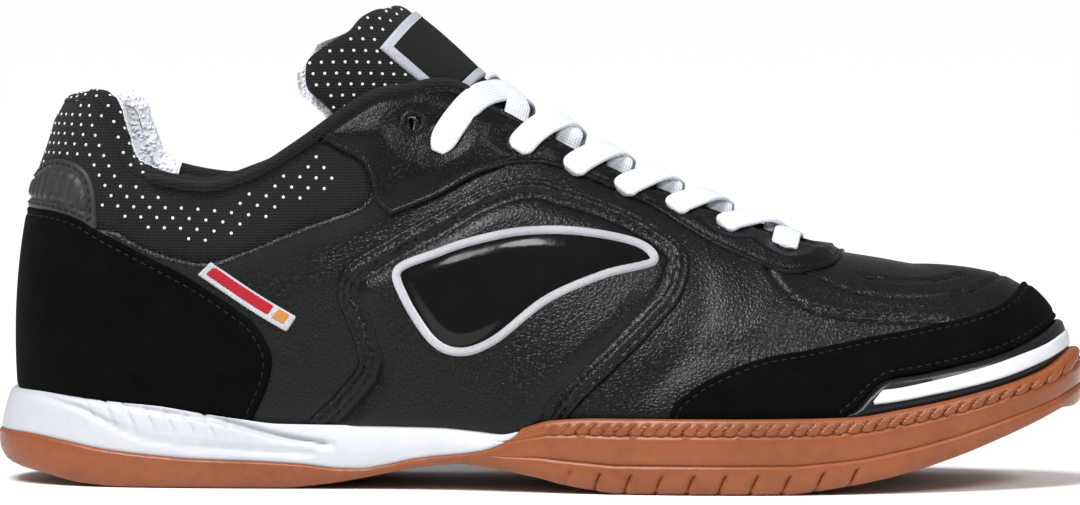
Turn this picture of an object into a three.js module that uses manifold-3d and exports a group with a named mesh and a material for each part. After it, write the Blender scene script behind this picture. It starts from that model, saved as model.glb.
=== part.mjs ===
// An indoor soccer shoe for the right foot, as separate pieces. The heel points to -X, the toe to +X, the outer
// side of the foot to -Y and up is +Z. The origin is on the floor, in the middle of the heel's flat tread.
import * as THREE from 'three';
import { mergeVertices } from 'three/addons/utils/BufferGeometryUtils.js';
import Module from 'manifold-3d';

const wasm = await Module();
wasm.setup();

// Driving dimensions in millimetres
const LENGTH = 294; // sole, heel to toe
const BALL_WIDTH = 92; // upper across the ball of the foot, where it meets the sole
const HEEL_WIDTH = 64; // the same across the heel
const INSTEP_HEIGHT = 96; // top of the instep above the foot bed
const HEEL_HEIGHT = 84; // back of the collar above the foot bed
const BED_HEIGHT = 20; // foot bed above the floor at the heel
const WALL = 2.2; // leather with its lining
const COLLAR_PAD = 7; // padded collar at the heel
const TONGUE_PAD = 6;
const INSOLE = 4;
const GAP = 0.3; // clearance between pieces that meet
const SIDE_PANEL = 1.3; // thickness of each overlay
const SUEDE = 1.2;
const EYESTAY = 0.8;
const BUMPER = 2;
const STRIPE = 0.6;
const EMBLEM = 0.8;
const TAG = 0.6;
const LABEL = 0.8;
const TONGUE_CLEARANCE = 0.4;
const SOLE_FLARE = 4.4; // how far the sole's side stands out from the upper's foot
const GUM_STEP = 0.6; // how far the outsole stands out from the midsole
const TREAD_PITCH = 8.2;
const TREAD_GROOVE = 1.8;
const TREAD_DEPTH = 1.5;
const LUG_HEIGHT = 6.4;
const LUG_NOTCH = 1.4;
const EYELET = 4; // diameter
const EYELET_INSET = 5.8; // from the throat's edge to an eyelet's centre
const LACE_WIDTH = 7;
const LACE_THICK = 1.5;
const HEEL_REST = 0.2 * LENGTH; // middle of the heel's flat tread, from the back of the heel
const FOREFOOT_REST = 0.663 * LENGTH;

const WIDE = 2 * BALL_WIDTH; // reach of a cutting block past the shoe
const ABOVE = 3 * INSTEP_HEIGHT; // over every piece
const UNDER_CREST = 0.4 * INSTEP_HEIGHT; // under the crest of the instep and over the foot bed
const STATION_GAP = 13; // distance round the foot between two stations, about
const STEPS_UP = 8; // faces up a rib
const SHORT_STRETCH = 0.04; // share of the length under which an outline runs straight

// Where one size or form gives way to another, as shares of the length
const WIDTH_BLEND = [0.3, 0.6];
const HEIGHT_BLEND = [0.3, 0.5];
const SOLE_BLEND = [0.46, 0.52];
const PAD_BLEND = [0.24, 0.3];
const PAD_RISE = [0.45, 0.75]; // share of the height over which the collar's padding sets in

// Ribs of the upper, from the heel round to the toe. Each rib stands on the foot bed, bulges, leans over its
// shoulder and ends at its top. "At" is a share of the length, outer, inner and out are shares of the width
// there, and up is a share of the height there.
const RIB_COLUMNS = [
  'footAt', 'footOuter', 'footInner', 'bulgeOut', 'bulgeUp',
  'shoulderAt', 'shoulderOuter', 'shoulderInner', 'shoulderUp', 'topAt', 'topOuter', 'topInner', 'topUp',
];
const RIBS = [
  [0.019, 0, 0, 0.047, 0.393, 0.014, 0, 0, 0.99, 0.156, 0, 0, 1.527],
  [0.029, 0.227, 0.219, 0.047, 0.393, 0.029, 0.208, 0.208, 0.992, 0.163, 0.125, 0.125, 1.53],
  [0.065, 0.398, 0.391, 0.055, 0.38, 0.052, 0.375, 0.375, 1, 0.18, 0.203, 0.203, 1.535],
  [0.129, 0.492, 0.484, 0.062, 0.357, 0.107, 0.464, 0.464, 1.017, 0.211, 0.266, 0.266, 1.553],
  [0.218, 0.508, 0.484, 0.062, 0.357, 0.197, 0.469, 0.469, 1.05, 0.255, 0.312, 0.312, 1.587],
  [0.32, 0.497, 0.443, 0.062, 0.356, 0.315, 0.502, 0.482, 1.047, 0.306, 0.295, 0.295, 1.604],
  [0.422, 0.479, 0.385, 0.054, 0.305, 0.395, 0.364, 0.378, 1.06, 0.361, 0.135, 0.148, 1.397],
  [0.524, 0.48, 0.4, 0.04, 0.27, 0.48, 0.263, 0.297, 1, 0.466, -0.017, 0.017, 1.02],
  [0.626, 0.5, 0.462, 0.033, 0.23, 0.592, 0.272, 0.315, 0.786, 0.578, -0.022, 0.022, 0.79],
  [0.721, 0.489, 0.5, 0.027, 0.198, 0.694, 0.293, 0.348, 0.646, 0.68, -0.027, 0.027, 0.646],
  [0.81, 0.42, 0.478, 0.027, 0.177, 0.779, 0.275, 0.348, 0.53, 0.755, -0.033, 0.033, 0.53],
  [0.884, 0.33, 0.41, 0.027, 0.172, 0.842, 0.22, 0.3, 0.45, 0.806, -0.038, 0.038, 0.448],
  [0.936, 0.23, 0.33, 0.027, 0.175, 0.895, 0.14, 0.24, 0.375, 0.837, -0.043, 0.043, 0.376],
  [0.967, 0.11, 0.215, 0.027, 0.18, 0.932, 0.06, 0.155, 0.34, 0.85, -0.047, 0.047, 0.335],
  [0.98, -0.054, 0.054, 0.027, 0.185, 0.95, -0.054, 0.054, 0.325, 0.857, -0.049, 0.049, 0.31],
].map((row) => Object.fromEntries(row.map((value, i) => [RIB_COLUMNS[i], value])));

// Heights along the sole: share of the length, share of the foot bed's height
const BED = [
  [0, 1], [0.068, 0.95], [0.184, 0.8], [0.265, 0.66], [0.367, 0.63], [0.422, 0.63], [0.469, 0.58], [0.524, 0.55],
  [0.646, 0.5], [0.755, 0.55], [0.816, 0.66], [0.874, 0.85], [0.922, 1.075], [0.959, 1.3], [0.986, 1.475],
];
const SOLE_BOTTOM = [
  [0, 0.45], [0.01, 0.31], [0.024, 0.23], [0.051, 0.15], [0.088, 0.04], [0.126, 0], [0.272, 0], [0.31, 0.05],
  [0.347, 0.14], [0.367, 0.2], [0.401, 0.3], [0.439, 0.355], [0.476, 0.285], [0.51, 0.2], [0.534, 0.11],
  [0.561, 0.045], [0.588, 0], [0.738, 0], [0.765, 0.045], [0.803, 0.13], [0.837, 0.24], [0.884, 0.45],
  [0.929, 0.71], [0.963, 0.93], [0.983, 1.075],
];
const SOLE_RIM = [
  [0, 1.27], [0.044, 1.255], [0.085, 1.19], [0.122, 1.135], [0.16, 1.09], [0.197, 1], [0.235, 0.92],
  [0.272, 0.86], [0.381, 0.845], [0.418, 0.84], [0.456, 0.8], [0.48, 0.765], [0.5, 0.83], [0.514, 0.895],
  [0.527, 0.94], [0.568, 0.975], [0.728, 0.98], [0.793, 0.995], [0.837, 1.09], [0.874, 1.19], [0.908, 1.31],
  [0.935, 1.425], [0.963, 1.6], [0.98, 1.82],
];
const GUM_LINE = [
  [-0.02, 0.72], [0.027, 0.7], [0.068, 0.62], [0.105, 0.52], [0.153, 0.44], [0.201, 0.39], [0.245, 0.37],
  [0.293, 0.33], [0.327, 0.275], [0.347, 0.27], [0.364, 0.31], [0.401, 0.425], [0.439, 0.495], [0.456, 0.535],
  [0.473, 0.615], [0.488, 0.73], [0.5, 0.95], [0.51, 1.6], [0.6, 3],
];

// Side of the sole: share of its height, then how far it stands out at the heel and at the forefoot as shares
// of the flare. The forefoot has two grooves between three bands.
const SOLE_PROFILE = [
  [0, 0.5, 0.45], [0.08, 0.78, 0.85], [0.35, 1, 1.04], [0.38, 1, 0.8], [0.43, 0.99, 0.9], [0.75, 0.8, 1],
  [0.785, 0.75, 0.82], [0.83, 0.7, 0.98], [1, 0.5, 0.8],
];
const FLARE_ALONG = [[0, 1.5], [0.1, 1], [0.9, 1], [0.98, 1.2]];

// Half the throat's width along the shoe: share of the length, share of the ball width
const THROAT = [
  [0.3, 0.3], [0.381, 0.261], [0.405, 0.228], [0.425, 0.201], [0.446, 0.185], [0.48, 0.161], [0.534, 0.139],
  [0.578, 0.124], [0.626, 0.111], [0.673, 0.107], [0.714, 0.102], [0.735, 0.086], [0.748, 0.06], [0.756, 0.028],
];
const THROAT_END = 0.758;

// The crest of the instep leans to the inner side: share of the length, share of the ball width
const CREST = [[0.4, 0], [0.524, 0.017], [0.626, 0.022], [0.721, 0.027], [0.81, 0.033], [0.98, 0.054]];
const EYELETS_AT = [0.416, 0.486, 0.534, 0.58, 0.627, 0.673, 0.728];
const SPARE_EYELET = [0.391, 0.28]; // share of the length, share of the ball width from the crest

// Outlines seen from the side: share of the length, share of the height there above the foot bed. A third
// value of 1 marks a corner.
const COLLAR_LINE = [
  [-0.068, 0.99, 1], [0.05, 0.995], [0.085, 1.016], [0.099, 1.01], [0.107, 0.985],
  [0.115, 0.905], [0.127, 0.815], [0.151, 0.779], [0.197, 0.767], [0.224, 0.795], [0.253, 0.846], [0.289, 0.931],
  [0.33, 1.03], [0.365, 1.076], [0.387, 1.092], [0.404, 1.091, 1], [0.43, 1.3, 1], [0.43, 1.9, 1],
  [-0.068, 1.9, 1],
];
const TONGUE_OUTLINE = [
  [0.752, 0.66, 1], [0.68, 0.75], [0.578, 0.92], [0.51, 1.07], [0.462, 1.12], [0.42, 1.17], [0.383, 1.3],
  [0.369, 1.346], [0.36, 1.358], [0.346, 1.352], [0.332, 1.303], [0.313, 1.27], [0.296, 1.228], [0.291, 1.19],
  [0.293, 1.124], [0.305, 1.09], [0.334, 1.0], [0.408, 0.85], [0.51, 0.759], [0.612, 0.645], [0.697, 0.545],
  [0.731, 0.5], [0.752, 0.49, 1],
];
const LABEL_OUTLINE = [[0.386, 1.32, 1], [0.367, 1.207, 1], [0.402, 1.104, 1], [0.45, 1.03, 1], [0.46, 1.15, 1]];
const HEEL_COUNTER = [
  [-0.03, 0.649, 1], [0.036, 0.653], [0.064, 0.65], [0.087, 0.631], [0.106, 0.598], [0.154, 0.529],
  [0.198, 0.463], [0.235, 0.395], [0.249, 0.36], [0.258, 0.314], [0.264, 0.268], [0.263, 0.203],
  [0.255, 0.12], [0.238, 0, 1], [0.238, -0.15, 1], [-0.03, -0.15, 1],
];
const HEEL_PATCH = [
  [-0.03, 0.64, 1], [-0.03, 0.667, 1], [0.02, 0.69], [0.027, 0.73], [0.035, 0.765], [0.046, 0.796],
  [0.057, 0.814], [0.071, 0.817], [0.084, 0.805], [0.094, 0.777], [0.099, 0.73], [0.101, 0.683], [0.102, 0.6, 1],
];
const SIDE_PANEL_OUTLINE = [
  [0.297, -0.05, 1], [0.297, 0.053], [0.319, 0.136], [0.341, 0.225], [0.343, 0.272], [0.333, 0.377],
  [0.324, 0.455], [0.327, 0.527], [0.336, 0.566], [0.35, 0.591], [0.382, 0.636], [0.418, 0.675], [0.453, 0.721],
  [0.48, 0.742], [0.507, 0.744], [0.525, 0.728], [0.562, 0.694], [0.598, 0.648], [0.631, 0.589], [0.645, 0.53],
  [0.638, 0.428], [0.612, 0.332], [0.576, 0.218], [0.549, 0.132], [0.536, 0.07], [0.534, -0.05, 1],
];
const EMBLEM_OUTLINE = [
  [0.378, 0.53], [0.384, 0.43], [0.412, 0.29], [0.44, 0.25], [0.475, 0.29], [0.52, 0.4], [0.57, 0.47],
  [0.615, 0.51], [0.6, 0.57], [0.54, 0.605], [0.48, 0.6], [0.42, 0.565],
];
const TAG_OUTLINE = [[0.196, 0.494, 1], [0.208, 0.542, 1], [0.287, 0.393, 1], [0.278, 0.343, 1]];
const TOE_GUARD_OUTLINE = [
  [0.626, -0.1, 1], [0.631, 0.112], [0.647, 0.173], [0.673, 0.221], [0.712, 0.263], [0.752, 0.279],
  [0.782, 0.289], [0.817, 0.294], [0.844, 0.29], [0.868, 0.288], [0.886, 0.282], [0.912, 0.278], [0.929, 0.283],
  [0.94, 0.3], [0.949, 0.336, 1], [1.03, 0.34, 1], [1.03, -0.3, 1],
];
const TOE_BUMPER_OUTLINE = [
  [0.787, -0.1, 1], [0.787, 0.074], [0.797, 0.098], [0.806, 0.126], [0.815, 0.149], [0.828, 0.168],
  [0.855, 0.162], [0.882, 0.157], [0.909, 0.149], [0.926, 0.146], [0.944, 0.146], [0.962, 0.153],
  [0.975, 0.17, 1], [1.03, 0.2, 1], [1.03, -0.3, 1],
];
const TOE_STRIPE_OUTLINE = [
  [0.82, 0.141, 1], [0.837, 0.137], [0.873, 0.133], [0.909, 0.127], [0.935, 0.123], [0.962, 0.12],
  [0.983, 0.133], [1.03, 0.16, 1], [1.03, 0.1, 1], [0.984, 0.085], [0.962, 0.078], [0.935, 0.079],
  [0.909, 0.085], [0.873, 0.095], [0.837, 0.101], [0.809, 0.106, 1],
];
const EYESTAY_OUTLINE = [
  [0.309, 0.961, 1], [0.324, 0.925], [0.344, 0.878], [0.352, 0.821], [0.357, 0.749], [0.372, 0.69, 1],
  [0.418, 0.72], [0.453, 0.765], [0.489, 0.785], [0.525, 0.775], [0.598, 0.69], [0.633, 0.63], [0.66, 0.583],
  [0.69, 0.54], [0.73, 0.489], [0.762, 0.495], [0.779, 0.515], [0.786, 0.6, 1], [0.646, 1.1, 1], [0.408, 1.4, 1],
  [0.289, 1.3, 1],
];

const smooth = (from, to, value) => THREE.MathUtils.smoothstep(value, from, to);
const localWidth = (share) => THREE.MathUtils.lerp(HEEL_WIDTH, BALL_WIDTH, smooth(...WIDTH_BLEND, share));
const localHeight = (share) => THREE.MathUtils.lerp(HEEL_HEIGHT, INSTEP_HEIGHT, smooth(...HEIGHT_BLEND, share));

// Monotone cubic through a table's first two columns, level beyond its ends
function along(table, at) {
  const last = table.length - 1;
  const clamped = THREE.MathUtils.clamp(at, table[0][0], table[last][0]);
  const slope = (i) => (table[i + 1][1] - table[i][1]) / (table[i + 1][0] - table[i][0]);
  const tangent = (i) => {
    if (i === 0) return slope(0);
    if (i === last) return slope(last - 1);
    const before = slope(i - 1);
    const after = slope(i);
    if (before * after <= 0) return 0;
    const spanBefore = table[i][0] - table[i - 1][0];
    const spanAfter = table[i + 1][0] - table[i][0];
    const weight = 2 * spanAfter + spanBefore;
    const other = spanAfter + 2 * spanBefore;
    return (weight + other) / (weight / before + other / after);
  };
  let i = 0;
  while (i < last - 1 && clamped > table[i + 1][0]) i += 1;
  const span = table[i + 1][0] - table[i][0];
  const t = (clamped - table[i][0]) / span;
  const start = (1 + 2 * t) * (1 - t) ** 2 * table[i][1] + t * (1 - t) ** 2 * span * tangent(i);
  const end = t * t * (3 - 2 * t) * table[i + 1][1] + t * t * (t - 1) * span * tangent(i + 1);
  return start + end;
}

const bedAt = (share) => BED_HEIGHT * along(BED, share);
const bottomAt = (share) => BED_HEIGHT * along(SOLE_BOTTOM, share);
const rimAt = (share) => BED_HEIGHT * along(SOLE_RIM, share);
const gumLineAt = (share) => BED_HEIGHT * along(GUM_LINE, share);
const throatAt = (share) => BALL_WIDTH * along(THROAT, share);
const crestAt = (share) => BALL_WIDTH * along(CREST, share);

// Closed cubic spline with even second derivatives through rows of values, read at the given places
function closedSpline(knots, period, rows, places) {
  const count = rows.length;
  const spans = knots.map((knot, i) => (i + 1 < count ? knots[i + 1] : period) - knot);
  const matrix = rows.map(() => new Array(count).fill(0));
  const rest = rows.map((row, i) => {
    const before = (i + count - 1) % count;
    const after = (i + 1) % count;
    matrix[i][before] += spans[before] / 6;
    matrix[i][i] += (spans[before] + spans[i]) / 3;
    matrix[i][after] += spans[i] / 6;
    return row.map((value, k) => (rows[after][k] - value) / spans[i] - (value - rows[before][k]) / spans[before]);
  });
  for (let i = 0; i < count; i += 1) {
    for (let below = i + 1; below < count; below += 1) {
      const factor = matrix[below][i] / matrix[i][i];
      for (let k = i; k < count; k += 1) matrix[below][k] -= factor * matrix[i][k];
      rest[below] = rest[below].map((value, k) => value - factor * rest[i][k]);
    }
  }
  const bends = new Array(count);
  for (let i = count - 1; i >= 0; i -= 1) {
    bends[i] = rest[i].map((value, k) => {
      let sum = value;
      for (let later = i + 1; later < count; later += 1) sum -= matrix[i][later] * bends[later][k];
      return sum / matrix[i][i];
    });
  }
  return places.map((place) => {
    let i = count - 1;
    while (knots[i] > place) i -= 1;
    const after = (i + 1) % count;
    const done = place - knots[i];
    const left = spans[i] - done;
    return rows[i].map((value, k) => {
      const near = (bends[i][k] * left ** 3) / (6 * spans[i]) + (value / spans[i] - (bends[i][k] * spans[i]) / 6) * left;
      const far = (bends[after][k] * done ** 3) / (6 * spans[i]);
      return near + far + (rows[after][k] / spans[i] - (bends[after][k] * spans[i]) / 6) * done;
    });
  });
}

// Sizes of one rib on one side: foot x and y, bulge out and up, shoulder x, y and z, top x, y and z
function ribSizes(rib, side) {
  const width = localWidth(rib.footAt);
  const height = localHeight(rib.footAt);
  const bed = bedAt(rib.footAt);
  const across = (outer, inner) => (side < 0 ? -outer : inner) * width;
  return [
    rib.footAt * LENGTH, across(rib.footOuter, rib.footInner), rib.bulgeOut * width, rib.bulgeUp * height,
    rib.shoulderAt * LENGTH, across(rib.shoulderOuter, rib.shoulderInner), bed + rib.shoulderUp * height,
    rib.topAt * LENGTH, across(rib.topOuter, rib.topInner), bed + rib.topUp * height,
  ];
}

// Stations round the shoe, from the heel along the outer side to the toe and back along the inner side. Each
// has its foot, its outward direction in plan, and points and normals up its rib.
function makeStations() {
  const rows = [
    ...RIBS.map((rib) => ribSizes(rib, -1)),
    ...RIBS.slice(1, -1).reverse().map((rib) => ribSizes(rib, 1)),
  ];
  const count = rows.length;
  const chord = (i) => Math.hypot(rows[(i + 1) % count][0] - rows[i][0], rows[(i + 1) % count][1] - rows[i][1]);
  const spans = rows.map((row, i) => (chord(i) + chord(count - 1 - i)) / 2);
  const knots = spans.map((span, i) => spans.slice(0, i).reduce((sum, value) => sum + value, 0));
  const period = knots[count - 1] + spans[count - 1];
  const places = knots.flatMap((knot, i) => {
    const steps = Math.max(1, Math.round(spans[i] / STATION_GAP));
    return Array.from({ length: steps }, (unused, k) => knot + (spans[i] * k) / steps);
  });
  const sizes = closedSpline(knots, period, rows, places);
  const total = sizes.length;
  const stations = sizes.map((size, i) => {
    const before = sizes[(i + total - 1) % total];
    const after = sizes[(i + 1) % total];
    const out = new THREE.Vector3(after[1] - before[1], before[0] - after[0], 0).normalize();
    const [footX, footY, bulgeOut, bulgeUp, shoulderX, shoulderY, shoulderZ, topX, topY, topZ] = size;
    const foot = new THREE.Vector3(footX, footY, bedAt(footX / LENGTH));
    const bulge = foot.clone().addScaledVector(out, bulgeOut).add(new THREE.Vector3(0, 0, bulgeUp));
    const shoulder = new THREE.Vector3(shoulderX, shoulderY, shoulderZ);
    const rib = new THREE.CubicBezierCurve3(foot, bulge, shoulder, new THREE.Vector3(topX, topY, topZ));
    return { foot, out, share: footX / LENGTH, points: rib.getPoints(STEPS_UP) };
  });
  for (let i = 0; i <= total / 2; i += 1) {
    const [one, other] = [stations[i], stations[(total - i) % total]].map((station) => station.points[STEPS_UP]);
    if (one.distanceTo(other) < WALL) {
      one.lerp(other, 0.5);
      other.copy(one);
    }
  }
  stations.forEach((station, i) => {
    const before = stations[(i + total - 1) % total].points;
    const after = stations[(i + 1) % total].points;
    station.normals = station.points.map((point, k) => {
      const round = after[k].clone().sub(before[k]);
      const up = station.points[Math.min(k + 1, STEPS_UP)].clone().sub(station.points[Math.max(k - 1, 0)]);
      const normal = round.cross(up);
      if (k === 0) normal.z = 0;
      return normal.normalize();
    });
  });
  for (let i = 0; i <= total / 2; i += 1) {
    const [one, other] = [stations[i], stations[(total - i) % total]];
    if (one.points[STEPS_UP].distanceTo(other.points[STEPS_UP]) < WALL) {
      const crest = one.normals[STEPS_UP].clone().add(other.normals[STEPS_UP]).setY(0).normalize();
      one.normals[STEPS_UP] = crest;
      other.normals[STEPS_UP] = crest;
    }
  }
  return stations;
}
const STATIONS = makeStations();

// Solid from a closed three.js geometry
function toSolid(geometry) {
  const bare = geometry.clone();
  bare.deleteAttribute('normal');
  bare.deleteAttribute('uv');
  const merged = mergeVertices(bare, 1e-4);
  const corners = Array.from(merged.index.array);
  const faces = [];
  for (let i = 0; i < corners.length; i += 3) {
    const [a, b, c] = corners.slice(i, i + 3);
    if (a !== b && b !== c && c !== a) faces.push(a, b, c);
  }
  return new wasm.Manifold(new wasm.Mesh({
    numProp: 3,
    vertProperties: new Float32Array(merged.attributes.position.array),
    triVerts: new Uint32Array(faces),
  }));
}

// Closed skin over rings of points: rings[station][level], with a strip across the lowest and highest level
function skin(rings) {
  const total = rings.length;
  const levels = rings[0].length;
  const index = (station, level) => (station % total) * levels + level;
  const faces = [];
  const quad = (a, b, c, d) => faces.push(a, b, c, a, c, d);
  for (let i = 0; i < total; i += 1) {
    for (let k = 0; k + 1 < levels; k += 1) {
      quad(index(i, k), index(i + 1, k), index(i + 1, k + 1), index(i, k + 1));
    }
  }
  for (let i = 0; i < total / 2; i += 1) {
    const [near, far] = [(total - i) % total, total - i - 1];
    quad(index(i, 0), index(near, 0), index(far, 0), index(i + 1, 0));
    quad(index(i, levels - 1), index(i + 1, levels - 1), index(far, levels - 1), index(near, levels - 1));
  }
  const geometry = new THREE.BufferGeometry();
  geometry.setAttribute('position', new THREE.Float32BufferAttribute(rings.flat().flatMap((p) => p.toArray()), 3));
  geometry.setIndex(faces);
  return toSolid(geometry);
}

// The last's form, grown by an offset that may depend on the place, and drawn down below the foot bed
function form(offset, drop = 0) {
  const grow = typeof offset === 'function' ? offset : () => offset;
  return skin(STATIONS.map((station) => {
    const ring = station.points.map((point, k) => point.clone().addScaledVector(station.normals[k], grow(point)));
    if (drop > 0) ring.unshift(ring[0].clone().setZ(ring[0].z - drop));
    return ring;
  }));
}

// Skin of the given thickness, standing off the form
const shell = (standOff, thickness) => form(standOff + thickness).subtract(form(standOff));

// Whole sole, from its tread to its rim
function soleBody(grow = 0, lift = 0, hollow = 0) {
  return skin(STATIONS.map(({ foot, out, share }) => {
    const low = bottomAt(share) + hollow;
    const high = rimAt(share) + lift;
    const flare = SOLE_FLARE * along(FLARE_ALONG, share);
    return SOLE_PROFILE.map(([up, atHeel, atBall]) => {
      const reach = flare * THREE.MathUtils.lerp(atHeel, atBall, smooth(...SOLE_BLEND, share)) + grow;
      return foot.clone().addScaledVector(out, reach).setZ(low + up * (high - low));
    });
  }));
}

// Block between two heights that vary along the shoe
function layer(lowAt, highAt) {
  const slices = 90;
  const rows = Array.from({ length: slices + 1 }, (unused, i) => {
    const share = -0.1 + (1.2 * i) / slices;
    return [share * LENGTH, lowAt(share), highAt(share)];
  });
  const outline = [...rows.map(([x, low]) => [x, low]), ...rows.reverse().map(([x, low, high]) => [x, high])];
  return sideBlock(outline, -WIDE, WIDE);
}

function extrude(outline, depth) {
  const shape = new THREE.Shape(outline.map(([x, y]) => new THREE.Vector2(x, y)));
  return new THREE.ExtrudeGeometry(shape, { depth, bevelEnabled: false });
}

// Blocks with an outline seen from the side or from above
const sideBlock = (outline, fromY, toY) =>
  toSolid(extrude(outline, toY - fromY).rotateX(Math.PI / 2).translate(0, toY, 0));
const planBlock = (outline, fromZ, toZ) => toSolid(extrude(outline, toZ - fromZ).translate(0, 0, fromZ));

// Curve through an outline's rows, straight past corners, with a point added halfway along each stretch
function roundOff(rows) {
  const count = rows.length;
  return rows.flatMap((row, i) => {
    const [before, next, after] = [rows[(i + count - 1) % count], rows[(i + 1) % count], rows[(i + 2) % count]];
    if (row[2] && next[2]) return [row];
    if (Math.hypot(next[0] - row[0], (next[1] - row[1]) / 3) < SHORT_STRETCH) return [row];
    const leave = row[2] ? [next[0] - row[0], next[1] - row[1]] : [(next[0] - before[0]) / 2, (next[1] - before[1]) / 2];
    const reach = next[2] ? [next[0] - row[0], next[1] - row[1]] : [(after[0] - row[0]) / 2, (after[1] - row[1]) / 2];
    const middle = [0, 1].map((k) => (row[k] + next[k]) / 2 + (leave[k] - reach[k]) / 8);
    return [row, middle];
  });
}

// An outline in millimetres, grown outwards by a clearance
function sideOutline(rows, grow = 0) {
  const points = roundOff(rows).map(([share, up]) =>
    new THREE.Vector2(share * LENGTH, bedAt(share) + up * localHeight(share)));
  const turn = THREE.ShapeUtils.isClockWise(points) ? -1 : 1;
  return points.map((point, i) => {
    const before = points[(i + points.length - 1) % points.length];
    const after = points[(i + 1) % points.length];
    const way = after.clone().sub(before).normalize();
    return [point.x + turn * way.y * grow, point.y - turn * way.x * grow];
  });
}
const panelBlock = (rows, grow = 0, fromY = -WIDE, toY = WIDE) => sideBlock(sideOutline(rows, grow), fromY, toY);

// Opening of the throat, seen from above
function throatBlock(grow = 0) {
  const reach = (share) => throatAt(share) + grow;
  const outer = THROAT.map(([share]) => [share * LENGTH, crestAt(share) - reach(share)]);
  const inner = THROAT.map(([share]) => [share * LENGTH, crestAt(share) + reach(share)]).reverse();
  return planBlock([...outer, [THROAT_END * LENGTH + grow, crestAt(THROAT_END)], ...inner], UNDER_CREST, ABOVE);
}

// Highest point of the form above a place, with its normal
function surfaceAt(x, y) {
  const ray = new THREE.Ray(new THREE.Vector3(x, y, ABOVE), new THREE.Vector3(0, 0, -1));
  const hit = new THREE.Vector3();
  let best = null;
  STATIONS.forEach((station, i) => {
    const next = STATIONS[(i + 1) % STATIONS.length];
    for (let k = 0; k < STEPS_UP; k += 1) {
      const [a, b, c, d] = [station.points[k], next.points[k], next.points[k + 1], station.points[k + 1]];
      [[a, b, c], [a, c, d]].forEach(([p, q, r]) => {
        if (ray.intersectTriangle(p, q, r, false, hit) && (!best || hit.z > best.point.z)) {
          const normal = new THREE.Triangle(p, q, r).getNormal(new THREE.Vector3());
          best = { point: hit.clone(), normal };
        }
      });
    }
  });
  return best;
}

// Eyelet centres on the form, in pairs from the instep to the toe
const eyeletPair = (share, reach) => [-1, 1].map((side) => surfaceAt(share * LENGTH, crestAt(share) + side * reach));
const EYELET_PAIRS = EYELETS_AT.map((share) => eyeletPair(share, throatAt(share) + EYELET_INSET));
const SPARE_PAIR = eyeletPair(SPARE_EYELET[0], SPARE_EYELET[1] * BALL_WIDTH);

function eyeletCutters() {
  const upright = new THREE.Vector3(0, 1, 0);
  return [...EYELET_PAIRS, SPARE_PAIR].flat().map(({ point, normal }) => {
    const cutter = new THREE.CylinderGeometry(EYELET / 2, EYELET / 2, 4 * WALL, 6);
    cutter.applyQuaternion(new THREE.Quaternion().setFromUnitVectors(upright, normal));
    return toSolid(cutter.translate(point.x, point.y, point.z));
  });
}

const cut = (solid, cutters) => cutters.reduce((rest, cutter) => rest.subtract(cutter), solid);

// Leather wall, padded inside the collar round the heel
function wallAt(point) {
  const share = point.x / LENGTH;
  const up = (point.z - bedAt(share)) / localHeight(share);
  return WALL + (COLLAR_PAD - WALL) * (1 - smooth(...PAD_BLEND, share)) * smooth(...PAD_RISE, up);
}

const soleEnvelope = soleBody(GAP, GAP);
const eyeletHoles = eyeletCutters();
const throat = throatBlock();
const collar = panelBlock(COLLAR_LINE);
const cup = form(GAP, GAP);

function makeUpper() {
  const wall = form(0).subtract(form((point) => -wallAt(point), BED_HEIGHT));
  return cut(wall, [collar, throat, ...eyeletHoles]);
}


function makeMidsole() {
  const above = layer((share) => gumLineAt(share) + GAP / 2, () => ABOVE);
  return soleBody().intersect(above).subtract(cup);
}

// Grooves across the tread, evenly either side of a land on which the shoe stands
function treadGrooves(middle, pairs, height) {
  return Array.from({ length: 2 * pairs }, (unused, k) => {
    const x = middle + (k + 0.5 - pairs) * TREAD_PITCH;
    return toSolid(new THREE.BoxGeometry(TREAD_GROOVE, 2 * WIDE, 2 * height).translate(x, 0, 0));
  });
}

function makeOutsole() {
  const below = layer(() => -BED_HEIGHT, (share) => gumLineAt(share) - GAP / 2);
  const core = soleBody(GUM_STEP - LUG_NOTCH, 0, TREAD_DEPTH);
  return cut(soleBody(GUM_STEP).intersect(below).subtract(cup), [
    ...treadGrooves(FOREFOOT_REST, 4, LUG_HEIGHT).map((groove) => groove.subtract(core)),
    ...treadGrooves(HEEL_REST, 3, TREAD_DEPTH),
  ]);
}

function makeInsole() {
  const sheet = layer((share) => bedAt(share) - BED_HEIGHT, (share) => bedAt(share) + INSOLE);
  return form(-WALL - GAP).intersect(sheet);
}

function makeTongue() {
  const pad = shell(-WALL - TONGUE_CLEARANCE - TONGUE_PAD, TONGUE_PAD);
  return pad.intersect(panelBlock(TONGUE_OUTLINE));
}

function makeLabel() {
  return shell(GAP - WALL - TONGUE_CLEARANCE, LABEL).intersect(panelBlock(LABEL_OUTLINE));
}

// Overlay that follows the upper within an outline, clear of the sole's rim
function overlay(outline, thickness, { standOff = GAP, side = 0, around = [] } = {}) {
  const fromY = side > 0 ? 0 : -WIDE;
  const toY = side < 0 ? 0 : WIDE;
  const block = panelBlock(outline, 0, fromY, toY);
  return cut(shell(standOff, thickness).intersect(block), [soleEnvelope, ...around]);
}

// Flat strap of lace from one eyelet to another, seen from above
function strap(from, to) {
  const way = new THREE.Vector2(to.x - from.x, to.y - from.y).normalize();
  const half = LACE_WIDTH / 2;
  const corner = (point, end, side) => [
    point.x + (end * way.x - side * way.y) * half, point.y + (end * way.y + side * way.x) * half,
  ];
  const outline = [corner(from, -1, -1), corner(to, 1, -1), corner(to, 1, 1), corner(from, -1, 1)];
  return planBlock(outline, Math.min(from.z, to.z) - LACE_WIDTH / 2, ABOVE);
}

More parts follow.
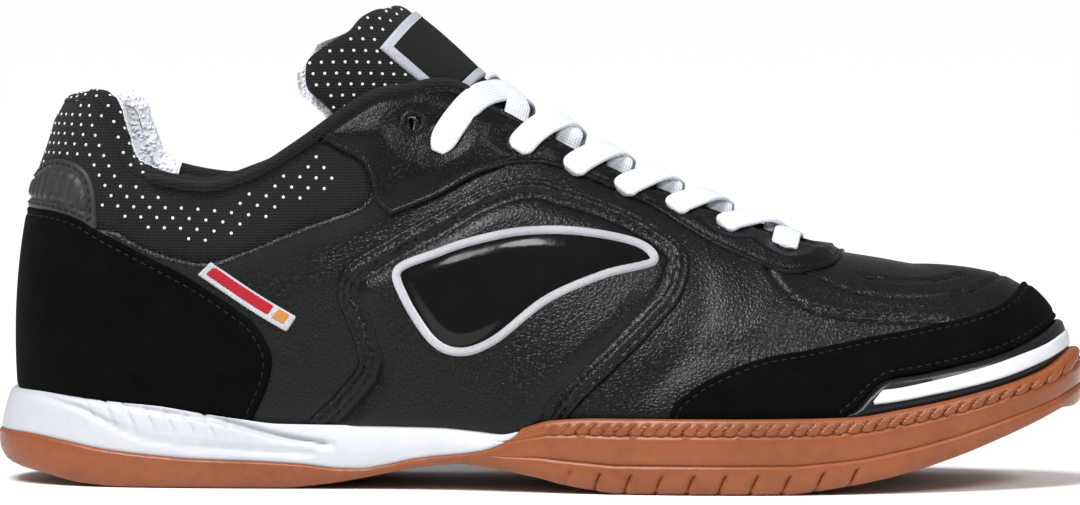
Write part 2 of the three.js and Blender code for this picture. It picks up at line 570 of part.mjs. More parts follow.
// Lace crossings from the instep to the toe and the bar at the last eyelets, joined
function makeLace() {
  const straps = [];
  for (let k = 0; k + 1 < EYELET_PAIRS.length; k += 1) {
    const [[outer, inner], [nextOuter, nextInner]] = [EYELET_PAIRS[k], EYELET_PAIRS[k + 1]];
    straps.push(strap(outer.point, nextInner.point), strap(inner.point, nextOuter.point));
  }
  const [lastOuter, lastInner] = EYELET_PAIRS[EYELET_PAIRS.length - 1];
  straps.push(strap(lastOuter.point, lastInner.point));
  const outline = straps.reduce((joined, next) => joined.add(next));
  return shell(SIDE_PANEL + 2 * GAP, LACE_THICK).intersect(outline);
}

const clearOf = (outline) => panelBlock(outline, GAP);
const finish = (color, roughness) => new THREE.MeshStandardMaterial({ color, roughness, metalness: 0 });
const FINISHES = {
  leather: finish(0x1b1b1d, 0.42),
  suede: finish(0x141416, 0.85),
  textile: finish(0x1e1e20, 0.9),
  gloss: finish(0x0c0c0e, 0.22),
  foam: finish(0xeef0f2, 0.6),
  gum: finish(0xc27b4e, 0.55),
  white: finish(0xf4f5f7, 0.8),
  red: finish(0xb4202c, 0.8),
};

const shoe = new THREE.Group();
shoe.position.x = -HEEL_REST;

function addPiece(name, material, solid) {
  const mesh = solid.getMesh();
  const geometry = new THREE.BufferGeometry();
  geometry.setAttribute('position', new THREE.BufferAttribute(new Float32Array(mesh.vertProperties), 3));
  geometry.setIndex(Array.from(mesh.triVerts));
  const piece = new THREE.Mesh(geometry, FINISHES[material]);
  piece.name = name;
  shoe.add(piece);
}

addPiece('upper', 'leather', makeUpper());
addPiece('midsole', 'foam', makeMidsole());
addPiece('outsole', 'gum', makeOutsole());
addPiece('insole', 'textile', makeInsole());
addPiece('tongue', 'textile', makeTongue());
addPiece('tongue_label', 'gloss', makeLabel());
addPiece('toe_guard', 'suede', overlay(TOE_GUARD_OUTLINE, SUEDE, { around: [clearOf(TOE_BUMPER_OUTLINE)] }));
addPiece('toe_bumper', 'gloss', overlay(TOE_BUMPER_OUTLINE, BUMPER));
addPiece('toe_stripe', 'white', overlay(TOE_STRIPE_OUTLINE, STRIPE, { standOff: BUMPER + 2 * GAP }));
addPiece('heel_counter', 'suede', overlay(HEEL_COUNTER, SUEDE, { around: [clearOf(TAG_OUTLINE)] }));
addPiece('heel_patch', 'textile', overlay(HEEL_PATCH, SUEDE, { around: [clearOf(HEEL_COUNTER)] }));
addPiece('side_tag', 'red', overlay(TAG_OUTLINE, TAG, { side: -1 }));
[['outer', -1], ['inner', 1]].forEach(([name, side]) => {
  const eyestayCuts = [clearOf(SIDE_PANEL_OUTLINE), collar, throat, ...eyeletHoles];
  addPiece(`side_panel_${name}`, 'leather', overlay(SIDE_PANEL_OUTLINE, SIDE_PANEL, { side }));
  addPiece(`side_emblem_${name}`, 'gloss', overlay(EMBLEM_OUTLINE, EMBLEM, { side, standOff: SIDE_PANEL + 2 * GAP }));
  addPiece(`eyestay_${name}`, 'leather', overlay(EYESTAY_OUTLINE, EYESTAY, { side, around: eyestayCuts }));
});
addPiece('lace', 'white', makeLace());

export default shoe;
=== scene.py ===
"""An indoor soccer shoe for the right foot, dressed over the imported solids.

The heel points to -X, the toe to +X, the outer side of the foot to -Y and up is +Z. Sizes are in
millimetres from the back of the sole until a mesh is made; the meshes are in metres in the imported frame.
"""
import logging
import math
from dataclasses import dataclass, field
from enum import Enum
from functools import cache
from typing import Callable, Iterable, Optional, Protocol, Sequence

import bmesh
import bpy
import numpy as np
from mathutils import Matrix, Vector
from mathutils.bvhtree import BVHTree


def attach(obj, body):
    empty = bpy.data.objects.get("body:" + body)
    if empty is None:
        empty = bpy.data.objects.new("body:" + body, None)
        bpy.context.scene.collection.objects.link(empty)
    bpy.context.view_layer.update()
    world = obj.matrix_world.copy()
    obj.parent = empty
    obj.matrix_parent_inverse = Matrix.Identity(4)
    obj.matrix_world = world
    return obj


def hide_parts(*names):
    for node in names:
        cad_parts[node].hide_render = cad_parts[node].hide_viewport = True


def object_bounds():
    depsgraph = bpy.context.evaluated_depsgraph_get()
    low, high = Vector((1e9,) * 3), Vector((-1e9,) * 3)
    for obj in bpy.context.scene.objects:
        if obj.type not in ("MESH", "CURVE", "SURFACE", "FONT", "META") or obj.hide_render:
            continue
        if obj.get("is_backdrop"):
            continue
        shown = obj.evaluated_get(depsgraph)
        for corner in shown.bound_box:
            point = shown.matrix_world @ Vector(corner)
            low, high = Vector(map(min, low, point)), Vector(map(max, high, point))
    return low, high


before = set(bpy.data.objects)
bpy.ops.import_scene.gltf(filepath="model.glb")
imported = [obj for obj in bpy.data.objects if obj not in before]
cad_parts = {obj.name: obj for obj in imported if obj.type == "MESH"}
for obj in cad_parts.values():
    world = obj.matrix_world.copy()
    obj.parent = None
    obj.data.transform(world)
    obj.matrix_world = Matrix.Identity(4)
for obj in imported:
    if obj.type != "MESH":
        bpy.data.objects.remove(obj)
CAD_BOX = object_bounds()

LOG = logging.getLogger("shoe")
Array = np.ndarray
Rows = Sequence[Sequence[float]]
WELD = 2e-6
BATCH = 6000


@dataclass(frozen=True)
class ShoeSizes:
    """Main sizes of the shoe in millimetres, as in its source."""

    length: float = 294.0
    ball_width: float = 92.0
    heel_width: float = 64.0
    instep_height: float = 96.0
    heel_height: float = 84.0
    bed: float = 20.0
    wall: float = 2.2
    collar_pad: float = 7.0
    tongue_pad: float = 6.0
    insole: float = 4.0
    side_panel: float = 1.3
    suede: float = 1.2
    eyestay: float = 0.8
    bumper: float = 2.0
    stripe: float = 0.6
    sole_flare: float = 4.4
    gum_step: float = 0.6
    tread_pitch: float = 8.2
    tread_depth: float = 1.5
    eyelet: float = 4.0
    eyelet_inset: float = 5.8
    lace_width: float = 7.4
    lace_thick: float = 1.7

    @property
    def heel_rest(self) -> float:
        """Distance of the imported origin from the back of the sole."""
        return 0.2 * self.length


SIZES = ShoeSizes()

RIBS: Rows = (
    (0.019, 0, 0, 0.047, 0.393, 0.014, 0, 0, 0.99, 0.156, 0, 0, 1.527),
    (0.029, 0.227, 0.219, 0.047, 0.393, 0.029, 0.208, 0.208, 0.992, 0.163, 0.125, 0.125, 1.53),
    (0.065, 0.398, 0.391, 0.055, 0.38, 0.052, 0.375, 0.375, 1, 0.18, 0.203, 0.203, 1.535),
    (0.129, 0.492, 0.484, 0.062, 0.357, 0.107, 0.464, 0.464, 1.017, 0.211, 0.266, 0.266, 1.553),
    (0.218, 0.508, 0.484, 0.062, 0.357, 0.197, 0.469, 0.469, 1.05, 0.255, 0.312, 0.312, 1.587),
    (0.32, 0.497, 0.443, 0.062, 0.356, 0.315, 0.502, 0.482, 1.047, 0.306, 0.295, 0.295, 1.604),
    (0.422, 0.479, 0.385, 0.054, 0.305, 0.395, 0.364, 0.378, 1.06, 0.361, 0.135, 0.148, 1.397),
    (0.524, 0.48, 0.4, 0.04, 0.27, 0.48, 0.263, 0.297, 1, 0.466, -0.017, 0.017, 1.02),
    (0.626, 0.5, 0.462, 0.033, 0.23, 0.592, 0.272, 0.315, 0.786, 0.578, -0.022, 0.022, 0.79),
    (0.721, 0.489, 0.5, 0.027, 0.198, 0.694, 0.293, 0.348, 0.646, 0.68, -0.027, 0.027, 0.646),
    (0.81, 0.42, 0.478, 0.027, 0.177, 0.779, 0.275, 0.348, 0.53, 0.755, -0.033, 0.033, 0.53),
    (0.884, 0.33, 0.41, 0.027, 0.172, 0.842, 0.22, 0.3, 0.45, 0.806, -0.038, 0.038, 0.448),
    (0.936, 0.23, 0.33, 0.027, 0.175, 0.895, 0.14, 0.24, 0.375, 0.837, -0.043, 0.043, 0.376),
    (0.967, 0.11, 0.215, 0.027, 0.18, 0.932, 0.06, 0.155, 0.34, 0.85, -0.047, 0.047, 0.335),
    (0.98, -0.054, 0.054, 0.027, 0.185, 0.95, -0.054, 0.054, 0.325, 0.857, -0.049, 0.049, 0.31),
)


class Line:
    """Smooth line through rows of (share of the length, value), level beyond its ends."""

    def __init__(self, rows: Rows) -> None:
        """Keeps the rows and works out the line's slopes.

        Args:
            rows: share and value pairs in rising order.
        """
        table = np.array(rows, float)
        self.at, self.value = table[:, 0], table[:, 1]
        span = np.diff(self.at)
        slope = np.diff(self.value) / span
        before, after = slope[:-1], slope[1:]
        weight, other = 2 * span[1:] + span[:-1], span[1:] + 2 * span[:-1]
        same_way = before * after > 0
        safe_before = np.where(same_way, before, 1.0)
        safe_after = np.where(same_way, after, 1.0)
        middle = np.where(same_way, (weight + other) / (weight / safe_before + other / safe_after), 0.0)
        self.slope = np.concatenate(([slope[0]], middle, [slope[-1]]))

    def __call__(self, at: Array) -> Array:
        """Value of the line at each place."""
        place = np.clip(at, self.at[0], self.at[-1])
        i = np.clip(np.searchsorted(self.at, place) - 1, 0, len(self.at) - 2)
        span = self.at[i + 1] - self.at[i]
        t = (place - self.at[i]) / span
        start = (1 + 2 * t) * (1 - t) ** 2 * self.value[i] + t * (1 - t) ** 2 * span * self.slope[i]
        end = t * t * (3 - 2 * t) * self.value[i + 1] + t * t * (t - 1) * span * self.slope[i + 1]
        return start + end


BED = Line((
    (0, 1), (0.068, 0.95), (0.184, 0.8), (0.265, 0.66), (0.367, 0.63), (0.422, 0.63), (0.469, 0.58),
    (0.524, 0.55), (0.646, 0.5), (0.755, 0.55), (0.816, 0.66), (0.874, 0.85), (0.922, 1.075), (0.959, 1.3),
    (0.986, 1.475),
))
SOLE_BOTTOM = Line((
    (0, 0.45), (0.01, 0.31), (0.024, 0.23), (0.051, 0.15), (0.088, 0.04), (0.126, 0), (0.272, 0),
    (0.31, 0.05), (0.347, 0.14), (0.367, 0.2), (0.401, 0.3), (0.439, 0.355), (0.476, 0.285), (0.51, 0.2),
    (0.534, 0.11), (0.561, 0.045), (0.588, 0), (0.738, 0), (0.765, 0.045), (0.803, 0.13), (0.837, 0.24),
    (0.884, 0.45), (0.929, 0.71), (0.963, 0.93), (0.983, 1.075),
))
SOLE_RIM = Line((
    (0, 1.27), (0.044, 1.255), (0.085, 1.19), (0.122, 1.135), (0.16, 1.09), (0.197, 1), (0.235, 0.92),
    (0.272, 0.86), (0.381, 0.845), (0.418, 0.84), (0.456, 0.8), (0.48, 0.765), (0.5, 0.83), (0.514, 0.895),
    (0.527, 0.94), (0.568, 0.975), (0.728, 0.98), (0.793, 0.995), (0.837, 1.09), (0.874, 1.19),
    (0.908, 1.31), (0.935, 1.425), (0.963, 1.6), (0.98, 1.82),
))
GUM_LINE = Line((
    (-0.02, 0.72), (0.027, 0.7), (0.068, 0.62), (0.105, 0.52), (0.153, 0.44), (0.201, 0.39), (0.245, 0.37),
    (0.293, 0.33), (0.327, 0.275), (0.347, 0.27), (0.364, 0.31), (0.401, 0.425), (0.439, 0.495),
    (0.456, 0.535), (0.473, 0.615), (0.488, 0.73), (0.5, 0.95), (0.51, 1.6), (0.6, 3),
))
SOLE_SIDE_HEEL = Line((
    (0, 0.4), (0.04, 0.62), (0.1, 0.82), (0.2, 0.94), (0.35, 1), (0.45, 0.99), (0.75, 0.8), (0.9, 0.64),
    (1, 0.5),
))
SOLE_SIDE_BALL = Line((
    (0, 0.4), (0.04, 0.68), (0.1, 0.9), (0.2, 1), (0.33, 1.04), (0.365, 1.0), (0.38, 0.8), (0.4, 0.82),
    (0.43, 0.92), (0.6, 0.98), (0.75, 1), (0.77, 0.97), (0.785, 0.8), (0.8, 0.82), (0.83, 0.97),
    (0.96, 0.9),
    (1, 0.78),
))
FLARE = Line(((0, 1.5), (0.1, 1), (0.9, 1), (0.98, 1.2)))
THROAT: Rows = (
    (0.3, 0.3), (0.381, 0.261), (0.405, 0.228), (0.425, 0.201), (0.446, 0.185), (0.48, 0.161),
    (0.534, 0.139), (0.578, 0.124), (0.626, 0.111), (0.673, 0.107), (0.714, 0.102), (0.735, 0.086),
    (0.748, 0.06), (0.756, 0.028),
)
THROAT_WIDTH = Line(THROAT)
CREST = Line(((0.4, 0), (0.524, 0.017), (0.626, 0.022), (0.721, 0.027), (0.81, 0.033), (0.98, 0.054)))
EYELETS_AT = (0.416, 0.486, 0.534, 0.58, 0.627, 0.673, 0.728)
SPARE_EYELET = (0.391, 0.28)


def smooth(low: float, high: float, value: Array) -> Array:
    """Smooth step from 0 at low to 1 at high."""
    t = np.clip((np.asarray(value, float) - low) / (high - low), 0, 1)
    return t * t * (3 - 2 * t)


def bell(value: Array, width: float) -> Array:
    """Soft bump of height 1 about 0, gone at about twice the width."""
    return np.exp(-((np.asarray(value, float) / width) ** 2))


def unit(vectors: Array) -> Array:
    """Vectors scaled to length 1."""
    return vectors / np.maximum(np.linalg.norm(vectors, axis=-1, keepdims=True), 1e-12)


def ease(line: Array, times: int) -> None:
    """Softens a run of points in place and keeps its ends."""
    for _ in range(times):
        line[1:-1] = (line[:-2] + 2 * line[1:-1] + line[2:]) / 4


def way_along(line: Array) -> Array:
    """Length of a run of points up to each of them."""
    return np.concatenate(([0], np.cumsum(np.linalg.norm(np.diff(line, axis=0), axis=1))))


def round_off(depth: Array, reach: float) -> Array:
    """Quarter circle from 0 at an edge to 1 at a reach inside it."""
    t = 1 - np.clip(depth / reach, 0, 1)
    return np.sqrt(np.maximum(1 - t * t, 0))


def local_width(share: Array) -> Array:
    """Width of the foot at a share of the length."""
    return SIZES.heel_width + (SIZES.ball_width - SIZES.heel_width) * smooth(0.3, 0.6, share)


def local_height(share: Array) -> Array:
    """Height of the instep at a share of the length."""
    return SIZES.heel_height + (SIZES.instep_height - SIZES.heel_height) * smooth(0.3, 0.5, share)


def bed_at(share: Array) -> Array:
    """Height of the foot bed."""
    return SIZES.bed * BED(share)


class Surface(Protocol):
    """A surface with two coordinates."""

    def place(self, a: Array, b: Array) -> tuple[Array, Array]:
        """Positions and outward normals at the two coordinates."""
        ...


def place_by_steps(point: Callable[[Array, Array], Array], a: Array, b: Array, low: float, high: float,
                   step_a: float, step_b: float) -> tuple[Array, Array]:
    """Positions on a surface, with normals from small steps.

    Args:
        point: gives positions at two coordinates.
        a: first coordinate.
        b: second coordinate, kept between low and high.
        low: least second coordinate.
        high: largest second coordinate.
        step_a: step along the first coordinate.
        step_b: step along the second coordinate.

    Returns:
        Positions and unit normals.
    """
    round_way = point(a + step_a, b) - point(a - step_a, b)
    up_way = point(a, np.minimum(b + step_b, high)) - point(a, np.maximum(b - step_b, low))
    return point(a, b), unit(np.cross(round_way, up_way))


class Last:
    """Form of the upper: ribs round the foot, from the heel by the outer side to the toe and back."""

    def __init__(self) -> None:
        """Joins the ribs with a closed spline."""
        rows = [self.rib_sizes(rib, -1) for rib in RIBS]
        rows += [self.rib_sizes(rib, 1) for rib in RIBS[-2:0:-1]]
        self.rows = np.array(rows)
        count = len(rows)
        step = np.roll(self.rows[:, :2], -1, axis=0) - self.rows[:, :2]
        chord = np.hypot(step[:, 0], step[:, 1])
        self.spans = (chord + chord[::-1]) / 2
        self.knots = np.concatenate(([0], np.cumsum(self.spans)))
        self.period = float(self.knots[-1])
        matrix = np.zeros((count, count))
        for i in range(count):
            matrix[i, i - 1] += self.spans[i - 1] / 6
            matrix[i, i] += (self.spans[i - 1] + self.spans[i]) / 3
            matrix[i, (i + 1) % count] += self.spans[i] / 6
        slope = (np.roll(self.rows, -1, axis=0) - self.rows) / self.spans[:, None]
        self.bends = np.linalg.solve(matrix, slope - np.roll(slope, 1, axis=0))

    @staticmethod
    def rib_sizes(rib: Sequence[float], side: int) -> list[float]:
        """Foot x and y, bulge out and up, shoulder and top of one rib on one side."""
        (foot_at, foot_outer, foot_inner, bulge_out, bulge_up, shoulder_at, shoulder_outer, shoulder_inner,
         shoulder_up, top_at, top_outer, top_inner, top_up) = rib
        width, height = float(local_width(foot_at)), float(local_height(foot_at))
        bed = float(bed_at(foot_at))

        def across(outer: float, inner: float) -> float:
            """Sideways place on this side."""
            return (-outer if side < 0 else inner) * width

        return [
            foot_at * SIZES.length, across(foot_outer, foot_inner), bulge_out * width, bulge_up * height,
            shoulder_at * SIZES.length, across(shoulder_outer, shoulder_inner), bed + shoulder_up * height,
            top_at * SIZES.length, across(top_outer, top_inner), bed + top_up * height,
        ]

    def sizes(self, s: Array) -> Array:
        """Rib sizes at places round the foot."""
        place = np.mod(s, self.period)
        i = np.clip(np.searchsorted(self.knots, place, side="right") - 1, 0, len(self.rows) - 1)
        after = (i + 1) % len(self.rows)
        done = (place - self.knots[i])[:, None]
        span = self.spans[i][:, None]
        left = span - done
        near = self.bends[i] * left ** 3 / (6 * span) + (self.rows[i] / span
                                                         - self.bends[i] * span / 6) * left
        far = self.bends[after] * done ** 3 / (6 * span)
        return near + far + (self.rows[after] / span - self.bends[after] * span / 6) * done

    def foot(self, s: Array) -> tuple[Array, Array]:
        """Foot of each rib and its outward direction in plan."""
        here = self.sizes(s)
        way = self.sizes(s + 3)[:, :2] - self.sizes(s - 3)[:, :2]
        out = unit(np.stack((way[:, 1], -way[:, 0], np.zeros(len(s))), axis=1))
        foot = np.stack((here[:, 0], here[:, 1], bed_at(here[:, 0] / SIZES.length)), axis=1)
        return foot, out

    def point(self, s: Array, t: Array) -> Array:
        """Points at heights t, from 0 at the foot bed to 1 at the top."""
        here = self.sizes(s)
        foot, out = self.foot(s)
        bulge = foot + out * here[:, 2:3]
        bulge[:, 2] += here[:, 3]
        u = np.asarray(t, float)[:, None]
        return ((1 - u) ** 3 * foot + 3 * u * (1 - u) ** 2 * bulge
                + 3 * u * u * (1 - u) * here[:, 4:7] + u ** 3 * here[:, 7:10])

    def place(self, a: Array, b: Array) -> tuple[Array, Array]:
        """Positions and outward normals, joined along the crest of the instep."""
        position, normal = place_by_steps(self.point, a, b, 0.0, 1.0, 0.5, 0.004)
        high = np.flatnonzero(np.asarray(b) > 0.985)
        if len(high):
            _, normal[high] = place_by_steps(self.point, a[high], np.full(len(high), 0.98), 0.0, 1.0, 0.8,
                                             0.01)
        top = np.flatnonzero(np.asarray(b) > 1 - 1e-9)
        if len(top):
            other, other_normal = place_by_steps(self.point, -a[top], b[top], 0.0, 1.0, 0.5, 0.004)
            close = np.linalg.norm(position[top] - other, axis=1) < SIZES.wall
            met = top[close]
            position[met] = (position[met] + other[close]) / 2
            normal[met] = unit(normal[met] + other_normal[close])
        return position, normal

    def rib_length(self, s: float) -> float:
        """Length of the rib at one place."""
        t = np.linspace(0, 1, 40)
        points = self.point(np.full(40, s), t)
        return float(np.linalg.norm(np.diff(points, axis=0), axis=1).sum())


LAST = Last()


def side_place(curve: Array) -> Array:
    """Shares of the length and of the height above the foot bed as (x, z) in millimetres."""
    share = curve[:, 0]
    return np.stack((share * SIZES.length, bed_at(share) + curve[:, 1] * local_height(share)), axis=1)


def side_points(rows: Rows) -> Array:
    """Closed outline in the side view, in millimetres.

    Args:
        rows: share of the length and share of the height above the foot bed; a third value marks a corner.

    Returns:
        Points (x, z) round the outline.
    """
    corner = [len(row) > 2 for row in rows]
    flat = np.array([row[:2] for row in rows], float)
    count = len(flat)
    found = []
    for i in range(count):
        here, there = flat[i], flat[(i + 1) % count]
        straight = there - here
        leave = straight if corner[i] else (there - flat[i - 1]) / 2
        reach = straight if corner[(i + 1) % count] else (flat[(i + 2) % count] - here) / 2
        pieces = max(1, int(np.hypot(straight[0] * SIZES.length, straight[1] * SIZES.instep_height) / 1.2))
        t = (np.arange(pieces) / pieces)[:, None]
        found.append((2 * t ** 3 - 3 * t ** 2 + 1) * here + (t ** 3 - 2 * t ** 2 + t) * leave
                     + (3 * t ** 2 - 2 * t ** 3) * there + (t ** 3 - t ** 2) * reach)
    return side_place(np.concatenate(found))


def side_line(rows: Rows, step: float = 1.2) -> Array:
    """Open smooth line in the side view, from rows like an outline's."""
    flat = np.array([row[:2] for row in rows], float)
    there = np.vstack((2 * flat[0] - flat[1], flat, 2 * flat[-1] - flat[-2]))
    found = []
    for i in range(1, len(flat)):
        a, b, c, d = there[i - 1:i + 3]
        pieces = max(2, int(np.hypot((c - b)[0] * SIZES.length, (c - b)[1] * SIZES.instep_height) / step))
        t = (np.arange(pieces + (i == len(flat) - 1)) / pieces)[:, None]
        square, cube = 2 * a - 5 * b + 4 * c - d, 3 * b - a - 3 * c + d
        found.append(0.5 * (2 * b + (c - a) * t + square * t ** 2 + cube * t ** 3))
    return side_place(np.concatenate(found))


def flat_distance(points: Array, line: Array, closed: bool) -> tuple[Array, Array]:
    """Distance from flat points to a line, signed inside a closed one.

    Args:
        points: places (m, 2).
        line: the line's points (n, 2).
        closed: whether the line is an outline, inside which the distance is positive.

    Returns:
        Distances and the directions in which they grow.
    """
    start = line if closed else line[:-1]
    end = np.roll(line, -1, axis=0) if closed else line[1:]
    way = end - start
    size = np.maximum((way ** 2).sum(1), 1e-12)
    distance = np.empty(len(points))
    heading = np.empty((len(points), 2))
    for low in range(0, len(points), BATCH):
        part = points[low:low + BATCH]
        gap = part[:, None, :] - start[None]
        t = np.clip((gap * way).sum(2) / size, 0, 1)
        off = gap - t[..., None] * way
        square = (off ** 2).sum(2)
        nearest = square.argmin(1)
        row = np.arange(len(part))
        far = np.sqrt(square[row, nearest])
        toward = off[row, nearest]
        sign = np.ones(len(part))
        if closed:
            above = (start[None, :, 1] > part[:, None, 1]) != (end[None, :, 1] > part[:, None, 1])
            rise = np.where(np.abs(way[:, 1]) < 1e-9, 1e-9, way[:, 1])
            across = start[:, 0] + (part[:, None, 1] - start[None, :, 1]) * (way[:, 0] / rise)
            inside = ((above & (part[:, None, 0] < across)).sum(1) % 2) == 1
            sign = np.where(inside, 1.0, -1.0)
        distance[low:low + BATCH] = sign * far
        heading[low:low + BATCH] = toward * sign[:, None]
    return distance, unit(heading)


class View(Enum):
    """Direction from which an outline is drawn on the surface."""

    SIDE = (0, 2)
    TOP = (0, 1)


def on_surface(position: Array, normal: Array, line: Array, closed: bool = True,
               view: View = View.SIDE) -> Array:
    """Distance along the surface to a line drawn in a flat view."""
    axes = list(view.value)
    distance, heading = flat_distance(position[:, axes], line, closed)
    lean = (heading * normal[:, axes]).sum(1)
    return distance / np.sqrt(np.maximum(1 - lean ** 2, 0.05))


@dataclass
class Patch:
    """Triangles over a surface's two coordinates, which can be cut along level lines of marks."""

    surface: Surface
    coords: Array
    faces: Array
    marks: dict[str, Array] = field(default_factory=dict)

    @classmethod
    def grid(cls, surface: Surface, a: Array, b: Array) -> "Patch":
        """Patch over a grid of two coordinates.

        Args:
            surface: what it lies on.
            a: first coordinates.
            b: second coordinates.

        Returns:
            The patch.
        """
        coords = np.stack(np.meshgrid(a, b, indexing="ij"), axis=-1).reshape(-1, 2)
        i, k = np.meshgrid(np.arange(len(a) - 1), np.arange(len(b) - 1), indexing="ij")
        first = (i * len(b) + k).ravel()
        near, far = first + len(b), first + 1
        faces = np.concatenate((np.stack((first, near, near + 1), 1), np.stack((first, near + 1, far), 1)))
        return cls(surface, coords, faces)

    def copy(self) -> "Patch":
        """An equal patch that can be cut by itself."""
        marks = {name: values.copy() for name, values in self.marks.items()}
        return Patch(self.surface, self.coords.copy(), self.faces.copy(), marks)

    def sides(self) -> Array:
        """The triangles' sides as pairs of vertices."""
        return np.concatenate((self.faces[:, [0, 1]], self.faces[:, [1, 2]], self.faces[:, [2, 0]]))

    def spots(self) -> tuple[Array, Array]:
        """Positions and normals of the vertices."""
        return self.surface.place(self.coords[:, 0], self.coords[:, 1])

    def shrink(self, wanted: Array) -> None:
        """Keeps only the wanted faces and their vertices."""
        self.faces = self.faces[wanted]
        used, self.faces = np.unique(self.faces, return_inverse=True)
        self.faces = self.faces.reshape(-1, 3)
        self.coords = self.coords[used]
        self.marks = {name: values[used] for name, values in self.marks.items()}

    def near(self, name: str, margin: float) -> None:
        """Drops faces that lie wholly more than a margin outside a mark."""
        self.shrink((self.marks[name][self.faces] > -margin).any(1))

    def cut(self, name: str, *levels: float) -> "Patch":
        """Splits the triangles along levels of a mark."""
        for level in levels:
            self.split(name, level)
        return self

    def split(self, name: str, level: float) -> None:
        """Splits the triangles along one level, after moving vertices that are close to it."""
        f = self.marks[name] - level
        f[np.abs(f) < 1e-7] = 0
        edge, count = np.unique(np.sort(self.sides(), axis=1), axis=0, return_counts=True)
        rim = np.zeros(len(f), bool)
        rim[edge[count == 1].ravel()] = True
        one, two = edge[f[edge[:, 0]] * f[edge[:, 1]] < 0].T
        share = f[one] / (f[one] - f[two])
        vertex, other = np.concatenate((one, two)), np.concatenate((two, one))
        amount = np.concatenate((share, 1 - share))
        close = (amount < 0.24) & ~rim[vertex]
        vertex, other, amount = vertex[close], other[close], amount[close]
        order = np.argsort(amount)
        vertex, first = np.unique(vertex[order], return_index=True)
        other, amount = other[order][first], amount[order][first]
        for values in (self.coords, *self.marks.values()):
            part = amount[:, None] if values.ndim > 1 else amount
            values[vertex] = values[vertex] + (values[other] - values[vertex]) * part
        f[vertex] = 0
        self.marks[name][f == 0] = level
        sign = np.sign(f).astype(int)
        corner = sign[self.faces]
        mixed = (corner.max(1) > 0) & (corner.min(1) < 0)
        whole, part, corner = self.faces[~mixed], self.faces[mixed], corner[mixed]
        has_zero = (corner == 0).any(1)
        other_side = corner == -np.sign(corner.sum(1))[:, None]
        lone = np.where(has_zero, (corner == 0).argmax(1), other_side.argmax(1))
        turned = part[np.arange(len(part))[:, None], (lone[:, None] + np.arange(3)) % 3]
        three, two_way = turned[~has_zero], turned[has_zero]
        wanted = np.concatenate((three[:, [0, 1]], three[:, [0, 2]], two_way[:, [1, 2]]))
        if not len(wanted):
            return
        edges, index = np.unique(np.sort(wanted, axis=1), axis=0, return_inverse=True)
        index = index.ravel() + len(self.coords)
        a, b = edges.T
        share = f[a] / (f[a] - f[b])
        added = self.coords[a] + (self.coords[b] - self.coords[a]) * share[:, None]
        self.coords = np.concatenate((self.coords, added))
        for key, values in self.marks.items():
            self.marks[key] = np.concatenate((values, values[a] + (values[b] - values[a]) * share))
        self.marks[name][len(f):] = level
        n = len(three)
        p, q, r = index[:n], index[n:2 * n], index[2 * n:]
        self.faces = np.concatenate((
            whole, np.stack((three[:, 0], p, q), 1), np.stack((p, three[:, 1], three[:, 2]), 1),
            np.stack((p, three[:, 2], q), 1), np.stack((two_way[:, 0], two_way[:, 1], r), 1),
            np.stack((two_way[:, 0], r, two_way[:, 2]), 1),
        ))

    def keep(self, name: str, level: float = 0.0) -> "Patch":
        """Cuts at a level of a mark and keeps what is above it."""
        self.split(name, level)
        self.shrink(self.marks[name][self.faces].mean(1) > level)
        return self

    def drop(self, name: str, level: float = 0.0) -> "Patch":
        """Cuts at a level of a mark and keeps what is below it."""
        self.split(name, level)
        self.shrink(self.marks[name][self.faces].mean(1) < level)
        return self

    def chains(self, name: str, level: float = 0.0) -> list[Array]:
        """Runs of vertices along a level of a mark, to which the patch was cut."""
        on = np.abs(self.marks[name] - level) < 1e-7
        pairs = self.sides()
        pairs = np.unique(np.sort(pairs[on[pairs].all(1)], axis=1), axis=0)
        return walk(pairs)


def walk(pairs: Array) -> list[Array]:
    """Joins edges end to end into runs of vertices.

    Args:
        pairs: two vertices for each edge.

    Returns:
        The runs, longest first; a closed one ends where it starts.
    """
    links: dict[int, list[int]] = {}
    for a, b in pairs.tolist():
        links.setdefault(a, []).append(b)
        links.setdefault(b, []).append(a)
    left = {tuple(sorted(pair)) for pair in pairs.tolist()}
    runs = []
    ends = [v for v in sorted(links) if len(links[v]) != 2]
    for start in ends + sorted(links):
        while True:
            ahead = next((v for v in links[start] if tuple(sorted((start, v))) in left), None)
            if ahead is None:
                break
            run = [start]
            while ahead is not None:
                left.discard(tuple(sorted((run[-1], ahead))))
                run.append(ahead)
                ahead = next((v for v in links[run[-1]] if tuple(sorted((run[-1], v))) in left), None)
            runs.append(np.array(run))
    return sorted(runs, key=len, reverse=True)


@dataclass(frozen=True)
class Edge:
    """Rounded edge of a panel: its thickness, the reach of the rounding, and the depth it starts at."""

    thickness: float
    reach: float = 0.8
    sunk: float = 0.15

    def levels(self) -> tuple[float, ...]:
        """Distances from the outline at which the mesh is cut."""
        return (self.reach * 0.08, self.reach * 0.3, self.reach)

    def height(self, distance: Array) -> Array:
        """Height above the surface at a distance inside the outline."""
        return (self.thickness + self.sunk) * round_off(distance, self.reach) - self.sunk


def to_metres(points: Array) -> Array:
    """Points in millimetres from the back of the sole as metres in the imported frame."""
    return (np.asarray(points, float) - np.array((SIZES.heel_rest, 0, 0))) / 1000


def link(name: str, data: bpy.types.ID) -> bpy.types.Object:
    """Puts a mesh, lamp or camera in the scene."""
    thing = bpy.data.objects.new(name, data)
    bpy.context.scene.collection.objects.link(thing)
    return thing


def show(name: str, mesh: bpy.types.Mesh, slot: str) -> bpy.types.Object:
    """Puts a finished mesh in the scene, riding on the shoe, and reports it."""
    piece = link(name, mesh)
    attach(piece, "root")
    LOG.info("%s: %d faces", name, len(mesh.polygons))
    return piece


